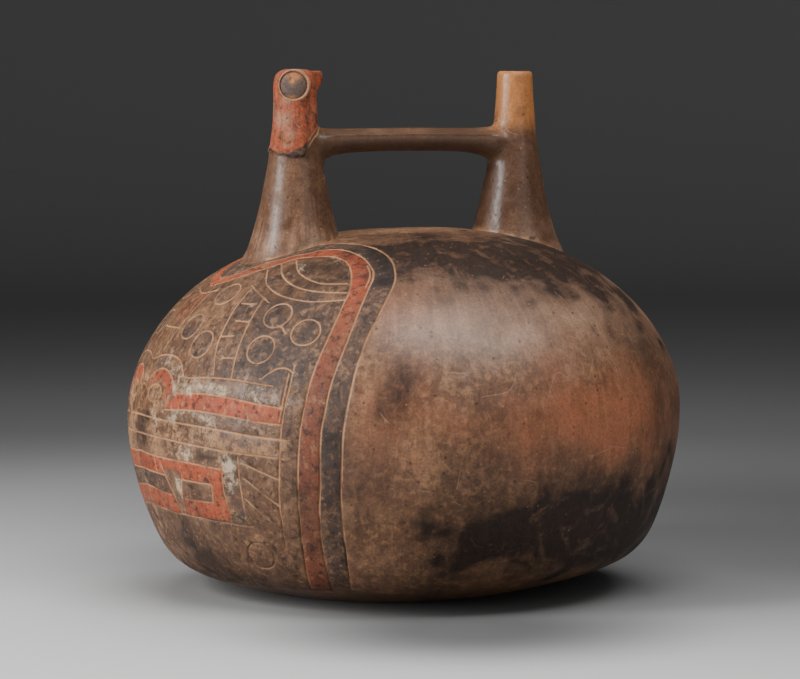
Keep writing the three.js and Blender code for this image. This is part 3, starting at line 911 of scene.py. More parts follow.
DARK_SPOTS = [
    (97, 70, 34, 13, 1.15), (80, 79, 18, 9, 1.0), (132, 64, 22, 12, 1.1), (137, 50, 14, 13, 0.75),
    (97, 47, 20, 8, 0.4), (150, 78, 30, 14, 0.8), (84, 98, 34, 8, 0.8), (68.4, 16, 2.2, 9, 0.9),
    (71, 20, 3, 4, 0.4), (63, -14, 4, 12, 0.5), (100, -32, 20, 9, 1.1), (112, -29, 12, 8, 0.9),
    (122, -42, 20, 9, 1.1), (84, -38, 10, 6, 0.6), (76.2, -31, 3, 2.4, 0.9),
    (146, -30, 10, 14, 0.8), (150, -46, 20, 10, 0.8), (92, -50, 20, 6, 0.4), (86, -8, 6, 9, 0.3),
    (140, 24, 8, 16, 0.5), (66, 72, 6, 8, 0.5), (164, 30, 12, 30, 0.5), (128, 22, 8, 7, 0.35),
    (104, -12, 5, 5, 0.3), (131, 2, 6, 12, 0.35), (-100, 84, 30, 12, 0.9), (-140, 60, 25, 16, 0.6),
    (-84, -28, 12, 18, 0.9), (-120, -44, 26, 9, 0.7), (-160, -20, 14, 22, 0.6),
    (-75, 20, 6, 20, 0.5), (180, -40, 20, 12, 0.7), (28, -56, 20, 8, 0.6), (14, -42, 7, 11, 0.9),
    (2, 0, 2, 3, 0.9), (4, -6, 3, 2.4, 0.9), (5, 3.5, 1.2, 1.6, 1.2), (26, -8, 4, 2.4, 0.9),
    (3, -12, 3, 2, 0.5), (55, -14, 3, 13, 0.6), (40, 68, 7, 4, 0.8), (35, 50, 6, 8, 0.35),
    (40, 26, 7, 5, 0.4), (55, 10, 2.5, 9, 0.4), (48, -20, 2.2, 16, 0.6), (12, 56, 6, 3, 0.5),
]
WARM_SPOTS = [
    (71, 12, 4, 9, 0.6), (64, 0, 4, 14, 0.45), (102, 8, 9, 8, 0.7), (111, 0, 8, 9, 0.8),
    (121, 4, 8, 11, 0.75), (129, -5, 6, 9, 0.5), (117, -5, 2.4, 9, 0.6), (94, -4, 8, 9, 0.4),
    (82, 4, 6, 7, 0.4), (146, -8, 9, 20, 0.45), (70, 48, 8, 12, 0.4), (160, -12, 10, 22, 0.3),
    (-96, 0, 18, 12, 0.7), (-140, 6, 16, 14, 0.6), (-118, -12, 10, 9, 0.5), (176, 10, 14, 14, 0.5),
    (-70, 50, 8, 12, 0.4),
]
PALE_AND_SHEEN_SPOTS = [
    (82, 42, 16, 15, 0.7), (104, 48, 22, 12, 0.6), (132, 46, 22, 14, 0.6), (154, 34, 16, 20, 0.5),
    (112, 30, 20, 10, 0.5), (-84, 44, 20, 14, 0.6), (-120, 40, 24, 16, 0.6),
    (-150, 30, 20, 18, 0.5), (178, 40, 20, 16, 0.5), (70, -46, 14, 8, 0.25),
]


def spots(places, marks, points, seed):
    """The sum of bell-shaped spots, their edges moved about by ripples."""
    total = np.zeros(len(places))
    wander = ripples(points, 17, seed) * 0.35 + ripples(points, 7, seed + 1) * 0.25
    for degrees, distance, half_width, half_height, strength in marks:
        across = ((places[:, 0] - degrees + 180) % 360 - 180) / half_width
        along = (places[:, 1] - distance) / half_height
        total += strength * np.exp(-(across**2 + along**2) / 1.6 * (1 + wander))
    return total.clip(0, 1.2)


def set_values(mesh, name, values):
    layer = mesh.attributes.new(name, "FLOAT", "POINT")
    layer.data.foreach_set("value", np.asarray(values, np.float32))


def set_colours(mesh, name, colours):
    layer = mesh.attributes.new(name, "FLOAT_COLOR", "POINT")
    full = np.concatenate([colours, np.ones((len(colours), 1))], axis=1)
    layer.data.foreach_set("color", full.astype(np.float32).ravel())


def painted(sizes, points, places, on_wall):
    """Which paint lies at each corner, how fully it covers, and how much deposit is on it.

    The areas' edges wander by small ripples. The red band is duller lower down, and so are some patches
    of the other red areas.
    """
    half = np.stack([np.abs(places[:, 0]), places[:, 1]], axis=1)
    half += np.stack([ripples(points, 6, SEED + 5), ripples(points, 6, SEED + 6)], axis=1) * [0.25, 0.3]
    colours = {
        "red": sizes.red_paint,
        "dull red": sizes.dull_red,
        "grey": sizes.grey_paint,
        "umber": sizes.umber_paint,
        "tan": sizes.tan_clay,
    }
    paint = np.tile(np.array(sizes.umber_paint), (len(points), 1))
    cover, chalk = np.zeros((2, len(points)))
    for name, fullness, deposit, outline in painted_areas():
        within = inside(half, outline) & on_wall
        paint[within] = np.array(colours[name])
        cover[within] = fullness
        chalk[within] = deposit
    # How far down the red band each corner lies; the band is duller lower down
    fired = 1 - step_up(places[:, 1] + 9 * ripples(points, 19, SEED + 19), 12, 66)
    band = inside(half, BAND_OUTER + BAND_INNER[::-1]) & on_wall
    patches = 0.3 * (ripples(points, 9, SEED + 20) > 0.1) * (cover > 0.9)
    share = np.where(band, 0.85 * fired, patches)[:, None]
    paint = paint * (1 - share) + np.array(sizes.dull_red) * share
    chalk = chalk * 0.55 + spots(places, CHALK_SPOTS, points, SEED + 8) * (cover > 0)
    return paint, cover, chalk


def strength_near(points, paths, near, far):
    """One nearer than near to any of the paths, zero past far, and an S-shaped fall between them."""
    strength = np.zeros(len(points))
    for path in paths:
        strength = np.maximum(strength, 1 - step_up(distance_to(points, path), near, far))
    return strength


def painted_head(points, degrees, blind_gap):
    """The head's red paint, the bare broken edge under its collar, darkened there as painted shade under
    the ledge, and the creases beside the bridge.
    """
    height = points[:, 2]
    collar = (blind_gap < 13) & (height > 146)
    paint_edge = collar_height(degrees, COLLAR_PAINT) + 0.3 * ripples(points, 3.5, SEED + 11)
    red = collar * step_up(height, paint_edge - 0.2, paint_edge + 0.25)
    edge = collar_height(degrees, COLLAR_EDGE)
    broken = collar * (1 - red) * step_up(height, edge - 0.6, edge)
    broken *= step_up(from_bridge(degrees), 78, 86)
    above = height - paint_edge
    crease = np.exp(-((above + 0.2) / 0.28) ** 2) + np.exp(-((above + 1.9) / 0.28) ** 2)
    crease *= collar * step_up(-from_bridge(degrees), -80, -74)
    return red, broken, crease


def marked_eyes(points):
    """Each eye's bare ring, its grey button and the tan places on the button, which are soft bells; the one
    beside the pit is a painted highlight.
    """
    ring, button, tan = np.zeros((3, len(points)))
    for azimuth in EYE_AZIMUTHS:
        centre, out, right = eye_frame(azimuth)
        offset = points - centre
        across, up = offset @ right, offset[:, 2]
        gap = np.hypot(across, up)
        facing = step_up(offset @ out, -1.2, -0.2)
        turn_right = across / gap.clip(0.1)
        rim = facing * step_up(gap, BUTTON_RADIUS + 0.1, BUTTON_RADIUS + 0.35)
        ring = np.maximum(ring, rim * (gap < EYE_RADIUS + 0.25 + 0.35 * turn_right))
        button = np.maximum(button, facing * (gap < BUTTON_RADIUS + 0.1))
        warm = np.exp(-((across - 0.2) ** 2 / 5 + (up - 3.0) ** 2 / 2))
        # a painted highlight on the lit edge below and to the right of the pit
        warm += 0.9 * np.exp(-((across + 0.3) ** 2 + (up - 1.0) ** 2) / 0.5)
        warm += 0.8 * np.exp(-((across + 0.5) ** 2 / 3 + (up + 4.0) ** 2 / 0.3))
        tan = np.maximum(tan, facing * warm * (gap < BUTTON_RADIUS))
    return ring, button, tan


def mark_vessel(mesh, sizes, strokes, seam_paths, scratches):
    """Works out at every corner of the mesh which paint, deposit, line or stain is there, and where shade
    and sheen are painted.
    """
    points = mesh_points(mesh)
    height = points[:, 2]
    stood = upright(points)
    places = body_places(stood)
    wall = on_body(places)
    wall_gap = np.linalg.norm(stood - wall, axis=1)
    open_x = OPEN_X + OPEN_DRIFT * step_up(height, *DRIFT_HEIGHTS)
    open_gap = np.hypot(points[:, 0] - open_x, points[:, 1])
    blind_gap = np.hypot(points[:, 0] - BLIND_X, points[:, 1])
    raised = height > SPOUT_LOW
    in_open = (open_gap < spout_radius(OPEN_SPOUT, height) + 0.12) & raised
    in_blind = (blind_gap < spout_radius(BLIND_SPOUT, height) + 0.12) & raised
    on_wall = (wall_gap < 1.6) & ~in_open & ~in_blind
    spout_skin = (height > SPOUT_SKIN) & ~on_wall
    foot = spout_skin * step_up(-height, -133, -119)
    foot = foot * (0.7 + 0.5 * ripples(points, 7, SEED + 23)).clip(0, 1)

    paint, cover, chalk = painted(sizes, points, places, on_wall)
    paths = [on_body(stroke) for stroke in strokes]
    # Painted light and shade in the incised lines: their pale clay shows less lower down the panel, where a
    # dark core is painted into each groove as its shade
    light = 0.85 - 0.55 * step_up(-places[:, 1], 8, 42) + 0.3 * ripples(points, 11, SEED + 9)
    line = strength_near(wall, paths, 0.08, 0.36) * (on_wall * light.clip(0.1, 1))
    painted_groove_shade = strength_near(wall, paths, 0.05, 0.26) * (on_wall * step_up(-light, -0.75, -0.3))
    scratch = strength_near(wall, [on_body(path) for path in scratches], 0.0, 0.2)
    degrees = np.degrees(np.arctan2(points[:, 1], points[:, 0] - BLIND_X))
    red_head, broken, crease = painted_head(points, degrees, blind_gap)
    ring, button, tan = marked_eyes(points)
    round_head = np.stack([degrees, height], axis=1)
    # Painted shade under the bridge: on its lower half and on the sides of the spouts below it
    beside = step_up(points[:, 0], BLIND_X + 6, BLIND_X + 20)
    beside *= step_up(-points[:, 0], -(OPEN_X - 6), -(OPEN_X - 14))
    under = step_up(height, 144, 149) * beside * (1 - step_up(height, 152.8, 155.2))
    in_cavity = (wall_gap > 2.4) & (open_gap < 95) & (stood[:, 2] > 2)
    in_cavity &= ~in_open & ~in_blind & (height < 118)
    bore_radius = np.interp(height, *arrays(OPEN_BORE)[:, ::-1].T)
    in_bore = (open_gap < bore_radius + 0.25) & (height < 175.6) & raised

    set_colours(mesh, "paint", paint)
    marks = {
        "cover": cover,
        "chalk": chalk,
        "line": np.maximum(line, 0.75 * crease),
        # painted shade in the lower grooves
        "cut": painted_groove_shade,
        "seam": strength_near(points, seam_paths, 0.1, 0.75),
        "dark": spots(places, DARK_SPOTS, points, SEED + 13) * on_wall,
        "warm": spots(places, WARM_SPOTS, points, SEED + 15) * on_wall,
        # pale clay, partly a painted sheen on the shoulders, and the pale foot of each spout
        "pale": spots(places, PALE_AND_SHEEN_SPOTS, points, SEED + 17) * on_wall + 0.65 * foot,
        "smoke": spout_skin * (1 - 0.85 * foot),
        "red_head": red_head,
        "head_wear": spots(round_head, HEAD_WEAR, points, SEED + 21) * red_head,
        # the bare broken edge, partly painted shade under the collar's ledge
        "broken": broken,
        "eye_ring": ring,
        "eye_button": button,
        "eye_tan": tan,
        "polish": spout_skin,
        "tip": step_up(-open_gap, -17, -9) * step_up(height, 152, 161),
        "bridge_under": under,
        "scratch": scratch * on_wall,
        "inside": in_cavity | in_bore,
    }
    for name, values in marks.items():
        set_values(mesh, name, values)


class Value:
    """A node's output, so that sums of outputs and numbers can be written plainly."""

    def __init__(self, nodes, socket):
        self.nodes = nodes
        self.socket = socket

    def __add__(self, other):
        return self.nodes.maths("ADD", self, other)

    def __sub__(self, other):
        return self.nodes.maths("SUBTRACT", self, other)

    def __rsub__(self, other):
        return self.nodes.maths("SUBTRACT", other, self)

    def __mul__(self, other):
        return self.nodes.maths("MULTIPLY", self, other)

    def __truediv__(self, other):
        return self.nodes.maths("DIVIDE", self, other)

    def clamped(self):
        """The same sum, kept between zero and one."""
        self.socket.node.use_clamp = True
        return self

    def ramp(self, low, high, bottom=0.0, top=1.0):
        """An S-shaped rise from bottom to top as the value goes from low to high."""
        numbers = (self, low, high, bottom, top)
        node = self.nodes.add("ShaderNodeMapRange", *numbers, interpolation_type="SMOOTHSTEP")
        return Value(self.nodes, node.outputs[0])


class Nodes:
    """A short way to add nodes to one tree and to link them."""

    def __init__(self, tree):
        self.tree = tree

    def add(self, kind, *values, **settings):
        """A node with its settings, and with values or links on its first inputs."""
        node = self.tree.nodes.new(kind)
        for name, setting in settings.items():
            setattr(node, name, setting)
        for socket, value in zip(node.inputs, values):
            self.fill(socket, value)
        return node

    def fill(self, socket, value):
        if isinstance(value, Value):
            self.tree.links.new(value.socket, socket)
        elif socket.type == "RGBA":
            socket.default_value = (*value, 1.0)
        else:
            socket.default_value = value

    def outputs(self, node):
        return {socket.name: Value(self, socket) for socket in node.outputs}

    def place(self):
        """The place on the piece, in its own coordinates."""
        return self.outputs(self.add("ShaderNodeTexCoord"))["Object"]

    def vector(self, operation, first, second, output="Vector"):
        node = self.add("ShaderNodeVectorMath", first, second, operation=operation)
        return self.outputs(node)[output]

    def maths(self, operation, *values):
        return Value(self, self.add("ShaderNodeMath", *values, operation=operation).outputs[0])

    def largest(self, first, *others):
        for other in others:
            first = self.maths("MAXIMUM", first, other)
        return first

    def mixed(self, share, first, second, blend="MIX"):
        node = self.add("ShaderNodeMix", share, data_type="RGBA", blend_type=blend)
        self.fill(node.inputs[6], first)
        self.fill(node.inputs[7], second)
        return Value(self, node.outputs[2])

    def layers(self, colour, laid):
        """A colour with others laid over it in turn, each through its own mask."""
        for mask, cover in laid:
            colour = self.mixed(mask, colour, cover)
        return colour

    def noise(self, vector, scale, detail=4.0, roughness=0.55, distortion=0.0):
        node = self.add("ShaderNodeTexNoise", vector)
        settings = {"Scale": scale, "Detail": detail, "Roughness": roughness, "Distortion": distortion}
        for name, value in settings.items():
            self.fill(node.inputs[name], value)
        return self.outputs(node)["Fac"]

    def attribute(self, name, output="Fac"):
        return self.outputs(self.add("ShaderNodeAttribute", attribute_name=name))[output]

    def group(self, tree, **values):
        node = self.add("ShaderNodeGroup", node_tree=tree)
        for name, value in values.items():
            self.fill(node.inputs[name], value)
        return self.outputs(node)


def new_group(name, numbers, outputs):
    """An empty shader node group that takes a vector and named numbers and puts out named masks."""
    tree = bpy.data.node_groups.new(name, "ShaderNodeTree")
    tree.interface.new_socket(name="Vector", in_out="INPUT", socket_type="NodeSocketVector")
    for socket_name, value in numbers.items():
        socket = tree.interface.new_socket(name=socket_name, in_out="INPUT", socket_type="NodeSocketFloat")
        socket.default_value = value
    for socket_name in outputs:
        tree.interface.new_socket(name=socket_name, in_out="OUTPUT", socket_type="NodeSocketFloat")
    nodes = Nodes(tree)
    given = nodes.outputs(nodes.add("NodeGroupInput"))
    return tree, nodes, given, nodes.add("NodeGroupOutput").inputs


def burnish_group():
    """Marks of the burnishing pebble: noise drawn out along the wall, from its direction about the axis."""
    numbers = {"Fineness": 70.0, "Stretch": 0.12}
    tree, nodes, given, out = new_group("Burnish marks", numbers, ("Streaks", "Strokes"))
    x, y, z = nodes.outputs(nodes.add("ShaderNodeSeparateXYZ", given["Vector"])).values()
    radius = nodes.largest(nodes.maths("SQRT", x * x + y * y), 0.004)
    drawn = (x / radius * given["Fineness"], y / radius * given["Fineness"], z * 1100.0 * given["Stretch"])
    vector = nodes.outputs(nodes.add("ShaderNodeCombineXYZ", *drawn))["Vector"]
    nodes.fill(out["Streaks"], nodes.noise(vector, 1.0, 3.0, 0.6, 0.4))
    nodes.fill(out["Strokes"], nodes.noise(vector, 0.27, 2.0, 0.5, 0.8))
    return tree


def mottle_group():
    """Cloudy change of the fired clay: four sizes of noise, from clouds down to the clay's own grain."""
    sizes = {
        "Clouds": (1.0, 6.0, 0.62, 0.3),
        "Patches": (4.3, 5.0, 0.65, 0.6),
        "Flecks": (14.0, 4.0, 0.6, 0.3),
        "Grain": (40.0, 3.0, 0.7, 0.0),
    }
    tree, nodes, given, out = new_group("Clay clouds", {"Size": 30.0}, sizes)
    for name, (times, *settings) in sizes.items():
        nodes.fill(out[name], nodes.noise(given["Vector"], given["Size"] * times, *settings))
    return tree


def wear_group():
    """Hairline scratches, pits and pale specks.

    A scratch is where a noise passes through its middle value, kept only where a slower noise is high.
    Pits and specks are the cells of a Voronoi pattern whose own random value is high.
    """
    tree, nodes, given, out = new_group("Wear marks", {"Amount": 0.5}, ("Hairlines", "Pits", "Specks"))
    wave = nodes.noise(given["Vector"], 62.0, 2.0, 0.5, 0.9)
    thin = nodes.maths("ABSOLUTE", wave - 0.5).ramp(0.0, 0.0042, 1.0, 0.0)
    patchy = nodes.noise(given["Vector"], 88.0, 2.0).ramp(0.74 - given["Amount"] * 0.16, 0.7)
    nodes.fill(out["Hairlines"], thin * patchy)
    for name, scale, size, threshold in (("Pits", 380.0, 0.26, 0.86), ("Specks", 520.0, 0.22, 0.93)):
        cell = nodes.add("ShaderNodeTexVoronoi", given["Vector"])
        nodes.fill(cell.inputs["Scale"], scale)
        cell = nodes.outputs(cell)
        pick = nodes.outputs(nodes.add("ShaderNodeSeparateColor", cell["Color"]))["Red"]
        dot = cell["Distance"].ramp(size * 0.5, size, 1.0, 0.0)
        nodes.fill(out[name], dot * nodes.maths("GREATER_THAN", pick, threshold))
    return tree


MARKS = (
    "cover", "chalk", "line", "cut", "seam", "dark", "warm", "pale", "smoke", "red_head", "head_wear",
    "broken", "eye_ring", "eye_button", "eye_tan", "polish", "tip", "bridge_under", "scratch", "inside",
)


def clay_material(sizes):
    """Burnished brown clay, with the panel's paint, deposits, incised lines and the painted head.

    The clay and the paint are each a colour with others laid over it through masks. What is left of the
    paint covers the clay, and stains, lines, deposits and wear lie over both, with painted shade under the
    bridge, under the collar's ledge and in the lower grooves, and a painted sheen on the shoulders.
    """
    material = bpy.data.materials.new("burnished clay")
    material.use_nodes = True
    material.node_tree.nodes.clear()
    nodes = Nodes(material.node_tree)
    place = nodes.place()
    mottle, burnish = mottle_group(), burnish_group()
    cloud, patch, fleck, grain = nodes.group(mottle, Vector=place).values()
    shifted = nodes.vector("ADD", place, PAINT_CLOUD_SHIFT)
    other_clouds = nodes.group(mottle, Vector=shifted, Size=26.0)
    streaks, strokes = nodes.group(burnish, Vector=place).values()
    from_spout = nodes.vector("SUBTRACT", place, (BLIND_X * MM, 0, 0))
    around_head = nodes.group(burnish, Vector=from_spout, Fineness=9.0, Stretch=0.06)
    head_streaks, head_strokes = around_head.values()
    wear = nodes.group(wear_group(), Vector=place)
    mark = {name: nodes.attribute(name) for name in MARKS}
    head = mark["red_head"]

    clay = nodes.mixed(cloud.ramp(0.3, 0.7), sizes.dark_clay, sizes.brown_clay)
    smoked = (1.0 - mark["tip"]) * cloud.ramp(0.62, 0.4, 0.6, 0.95)
    clay = nodes.layers(clay, [
        (patch.ramp(0.46, 0.7, 0.0, 0.6), sizes.tan_clay),
        (fleck.ramp(0.5, 0.66, 0.0, 0.5), sizes.tan_clay),
        (fleck.ramp(0.49, 0.34, 0.0, 0.65), sizes.dark_clay),
        # pale clay, partly a painted sheen on the shoulders
        ((mark["pale"] * patch.ramp(0.2, 0.65, 0.35, 0.8)).clamped(), sizes.pale_clay_and_sheen),
        ((mark["warm"] * cloud.ramp(0.28, 0.62, 0.25, 0.95)).clamped(), sizes.orange_bloom),
        ((mark["tip"] * cloud.ramp(0.25, 0.6, 0.7, 1.0)).clamped(), sizes.tip_clay),
        # painted shade under the bridge
        (mark["bridge_under"] * 0.72, sizes.soot_and_painted_shade),
        (mark["smoke"] * smoked, sizes.dark_clay),
        (mark["polish"] * head_streaks.ramp(0.46, 0.64, 0.0, 0.5), sizes.dark_clay),
    ])
    shade = streaks.ramp(0.3, 0.7, 0.9, 1.09) + strokes.ramp(0.3, 0.7, -0.07, 0.08)
    shade = shade * grain.ramp(0.3, 0.7, 0.8, 1.22)
    tint = nodes.outputs(nodes.add("ShaderNodeCombineColor", shade, shade, shade))["Color"]

    cover = nodes.largest(mark["cover"], head * 0.96)
    worn = other_clouds["Patches"] * 0.5 + other_clouds["Flecks"] * 0.3 + grain * 0.2
    held = (cover + (worn - 0.5) * 5.5).ramp(0.25, 0.75) * cover.ramp(0.0, 0.2)
    rubbed = (mark["head_wear"] * head_strokes.ramp(0.3, 0.6, 0.5, 1.0)).clamped()
    paint = nodes.layers(nodes.attribute("paint", "Color"), [
        (head, sizes.red_paint),
        (cloud.ramp(0.45, 0.7, 0.0, 0.45), sizes.umber_paint),
        (streaks.ramp(0.52, 0.68, 0.0, 0.5), sizes.umber_paint),
        (other_clouds["Flecks"].ramp(0.5, 0.68, 0.0, 0.5), sizes.tan_clay),
        (fleck.ramp(0.48, 0.34, 0.0, 0.75), sizes.soot_and_painted_shade),
        (head * head_streaks.ramp(0.45, 0.66, 0.0, 0.75), sizes.umber_paint),
        (rubbed, sizes.pale_clay_and_sheen),
    ])
    dark = (mark["dark"] * patch.ramp(0.3, 0.6, 0.5, 1.0)).clamped()
    # The bare edge under the collar, with painted shade under its ledge
    bare_edge_and_shade = nodes.mixed(fleck.ramp(0.42, 0.62), sizes.soot_and_painted_shade, sizes.umber_paint)
    surface = nodes.layers(clay, [
        (held * 0.93, paint),
        (dark * 0.93, sizes.soot_and_painted_shade),
        (mark["broken"] * 0.92, bare_edge_and_shade),
        (mark["eye_button"], sizes.eye_grey),
        # tan places on the button, one of them a painted highlight
        ((mark["eye_tan"] * 0.9).clamped(), sizes.tip_clay),
        (mark["eye_ring"] * 0.9, sizes.eye_rim),
    ])
    surface = nodes.mixed(1.0, surface, tint, "MULTIPLY")

    line = mark["line"] * patch.ramp(0.25, 0.5, 0.55, 1.0)
    dust = (mark["chalk"] + (worn - 0.58) * 5.0).ramp(0.15, 0.95) * mark["chalk"].ramp(0.02, 0.3)
    scratched = nodes.largest(wear["Hairlines"] * 0.55, wear["Specks"] * 0.3, mark["scratch"] * 0.42)
    surface = nodes.layers(surface, [
        (line, sizes.incised_line),
        # painted shade in the lower grooves
        (mark["cut"] * 0.85, sizes.soot_and_painted_shade),
        (mark["seam"] * patch.ramp(0.42, 0.6, 0.05, 0.6), sizes.incised_line),
        (dust * 0.8, sizes.deposit),
        (scratched, sizes.pale_scratch),
        (wear["Pits"] * 0.5, sizes.soot_and_painted_shade),
        (mark["inside"], sizes.raw_clay),
    ])

    smudge = (other_clouds["Patches"] * 0.6 + other_clouds["Flecks"] * 0.4).ramp(0.46, 0.6)
    dull = nodes.largest(mark["bridge_under"], held * 0.85, dark * 0.6).clamped()
    matt = nodes.largest(line, nodes.largest(mark["inside"], dust))
    rough = (cloud * 0.5 + patch * 0.5).ramp(0.3, 0.7, 0.33, 0.47) + held * 0.1
    rough = rough - mark["polish"] * 0.08 + mark["polish"] * smudge * 0.2
    rough = rough + nodes.largest(mark["broken"], head) * 0.2 + dull * 0.22
    rough = (rough + matt * 0.3).clamped()
    height = strokes * 0.4 + streaks * 0.25 + grain * 0.34
    height = height + fleck * (mark["broken"] + 0.3) + patch * (held * 0.6)
    height = height - wear["Pits"] * 0.5 - wear["Hairlines"] * 0.3
    bump = nodes.add("ShaderNodeBump")
    bump.inputs["Strength"].default_value = 0.55
    bump.inputs["Distance"].default_value = 0.00022
    nodes.fill(bump.inputs["Height"], height)

    shader = nodes.add("ShaderNodeBsdfPrincipled")
    nodes.fill(shader.inputs["Base Color"], surface)
    nodes.fill(shader.inputs["Roughness"], rough)
    nodes.fill(shader.inputs["Normal"], nodes.outputs(bump)["Normal"])
    shader.inputs["Specular IOR Level"].default_value = 0.31
    output = nodes.add("ShaderNodeOutputMaterial")
    nodes.fill(output.inputs["Surface"], nodes.outputs(shader)["BSDF"])
    return material


def floor_material(colour, front, painted_shadows):
    """A pale floor, darkened with the distance from a place before the bottle as painted shade where its
    light falls off, and grading to a darker backdrop.

    Each painted shadow is a place, the distances from it where it begins and ends to fade, and the share
    of the floor's light that is left in its middle.
    """
    material = bpy.data.materials.new("pale floor")
    material.use_nodes = True
    nodes = Nodes(material.node_tree)
    shader = material.node_tree.nodes["Principled BSDF"]
    place = nodes.place()
    far = nodes.vector("DISTANCE", place, front, "Value")
    # Painted shade: the floor darkens with the distance from the place before the bottle
    shade, wall = (tuple(channel * share for channel in colour) for share in (0.1, 0.42))
    graded = nodes.mixed(far.ramp(-0.08, 0.9), colour, shade)
    graded = nodes.mixed(far.ramp(1.1, 2.8), graded, wall)
    # Painted shadows of the bottle on the floor
    for centre, near_edge, far_edge, left in painted_shadows:
        painted_shadow = nodes.vector("DISTANCE", place, centre, "Value").ramp(near_edge, far_edge, 1.0 - left, 0.0)
        graded = nodes.mixed(painted_shadow, graded, (0.0, 0.0, 0.0))
    nodes.fill(shader.inputs["Base Color"], graded)
    shader.inputs["Roughness"].default_value = 0.85
    return material


def number_property(name, description, default, **settings):
    return bpy.props.FloatProperty(name=name, description=description, default=default, **settings)


def colour_property(name, description, default):
    return bpy.props.FloatVectorProperty(
        name=name, description=description, subtype="COLOR", size=3, min=0, max=1, default=default
    )


class VesselSizes(bpy.types.PropertyGroup):
    """Sizes and colours of the bottle."""

    groove_width: number_property(
        "Groove width", "Width of the panel's incised lines", 1.0 * MM, min=0, unit="LENGTH"
    )
    groove_depth: number_property(
        "Groove depth", "Depth of the panel's incised lines", 0.42 * MM, min=0, unit="LENGTH"
    )
    brown_clay: colour_property("Brown clay", "The burnished clay's middle colour", (0.16, 0.08, 0.044))
    dark_clay: colour_property("Dark clay", "Clay where it fired darker", (0.064, 0.032, 0.019))
    tan_clay: colour_property("Tan clay", "The clay where the burnish is thin", (0.25, 0.13, 0.064))
    # also laid as a painted sheen on the shoulders
    pale_clay_and_sheen: colour_property("Pale clay", "The greyish tan of the shoulders", (0.25, 0.145, 0.096))
    orange_bloom: colour_property("Orange bloom", "Clay fired with more air", (0.235, 0.086, 0.044))
    # also laid as painted shade under the bridge, under the collar's ledge and in the lower grooves
    soot_and_painted_shade: colour_property("Soot", "Clay darkened by smoke", (0.011, 0.0065, 0.005))
    tip_clay: colour_property("Tip clay", "The orange tan of the open spout's end", (0.33, 0.13, 0.044))
    red_paint: colour_property("Red paint", "Red resin paint", (0.28, 0.047, 0.016))
    dull_red: colour_property("Dull red", "Red paint that has darkened", (0.12, 0.036, 0.018))
    grey_paint: colour_property("Grey paint", "Dark grey resin paint", (0.042, 0.027, 0.021))
    umber_paint: colour_property("Umber paint", "Thin brown paint", (0.07, 0.034, 0.018))
    incised_line: colour_property("Incised line", "Bare clay in the incised lines", (0.4, 0.205, 0.1))
    deposit: colour_property("Deposit", "Whitish deposit left from the soil", (0.44, 0.33, 0.225))
    pale_scratch: colour_property("Pale scratch", "Fine scratches through the burnish", (0.36, 0.23, 0.14))
    eye_grey: colour_property("Eye grey", "The grey of the eye's button", (0.085, 0.058, 0.046))
    eye_rim: colour_property("Eye rim", "The bare ring round each eye", (0.27, 0.15, 0.08))
    raw_clay: colour_property("Raw clay", "The unburnished clay inside", (0.1, 0.055, 0.033))


class StudioSizes(bpy.types.PropertyGroup):
    """The camera, the lights and the floor."""

    camera_distance: number_property("Camera distance", "From the bottle's axis", 1.2, unit="LENGTH")
    camera_height: number_property("Camera height", "Above the floor", 0.17668, unit="LENGTH")
    camera_azimuth: number_property(
        "Camera azimuth", "Turn round the bottle", math.radians(-21), subtype="ANGLE"
    )
    camera_pitch: number_property("Camera pitch", "Looking down", math.radians(4.4), subtype="ANGLE")
    camera_slide: number_property(
        "Camera slide", "Sideways, to the left of the picture", 1.09 * MM, unit="LENGTH"
    )
    lens: number_property("Lens", "Focal length in millimetres", 157.6, min=1)
    floor_colour: colour_property("Floor colour", "The plain pale floor", (0.5, 0.5, 0.5))
    top_light: number_property(
        "Top light", "Power of the soft light overhead", 14.2, min=0, unit="POWER"
    )
    side_light: number_property(
        "Side light", "Power of the tall light on the left", 16.0, min=0, unit="POWER"
    )
    back_light: number_property(
        "Back light", "Power of the light overhead at the back", 8.0, min=0, unit="POWER"
    )
    fill_light: number_property(
        "Fill light", "Power of the weak light on the right", 1.8, min=0, unit="POWER"
    )
    low_light: number_property(
        "Low light", "Power of the weak low light in front", 2.5, min=0, unit="POWER"
    )
    sky: number_property("Sky", "Strength of the light all round", 0.05, min=0)


def build_vessel(sizes):
    """Joins the body, spouts, bridge, head and eyes, hollows them out and marks and finishes the clay."""
    strokes = panel_strokes()
    seams = [seam_stroke(OPEN_X, OPEN_SPOUT), seam_stroke(BLIND_X, BLIND_SPOUT)]
    scratches = [even_stroke(path, 0.5) for path in SCRATCHES]
    seam_places, seam_paths = zip(*seams)
    surface = body_surface(sizes, strokes, list(seam_places), scratches)
    body = mesh_object("vessel_body", *surface)
    additions = [open_spout(), blind_spout(), bridge(), beak()]
    additions += [eye(azimuth) for azimuth in EYE_AZIMUTHS]
    hollows = [
        cavity(),
        turned("open bore", rounded(OPEN_BORE, 3.0), OPEN_X, 48, None, OPEN_DRIFT),
        turned("blind hollow", rounded(BLIND_HOLLOW, 3.0), BLIND_X, 32),
    ]
    vessel = fused(body, additions, hollows)
    vessel.name = "clay_vessel"
    mesh = vessel.data
    mesh.name = "clay_vessel"
    soften_joints(mesh)
    mark_vessel(mesh, sizes, strokes, seam_paths, scratches)
    mesh.shade_smooth()
    mesh.set_sharp_from_angle(angle=SHARP_ANGLE)
    mesh.materials.clear()
    mesh.materials.append(clay_material(sizes))
    return vessel


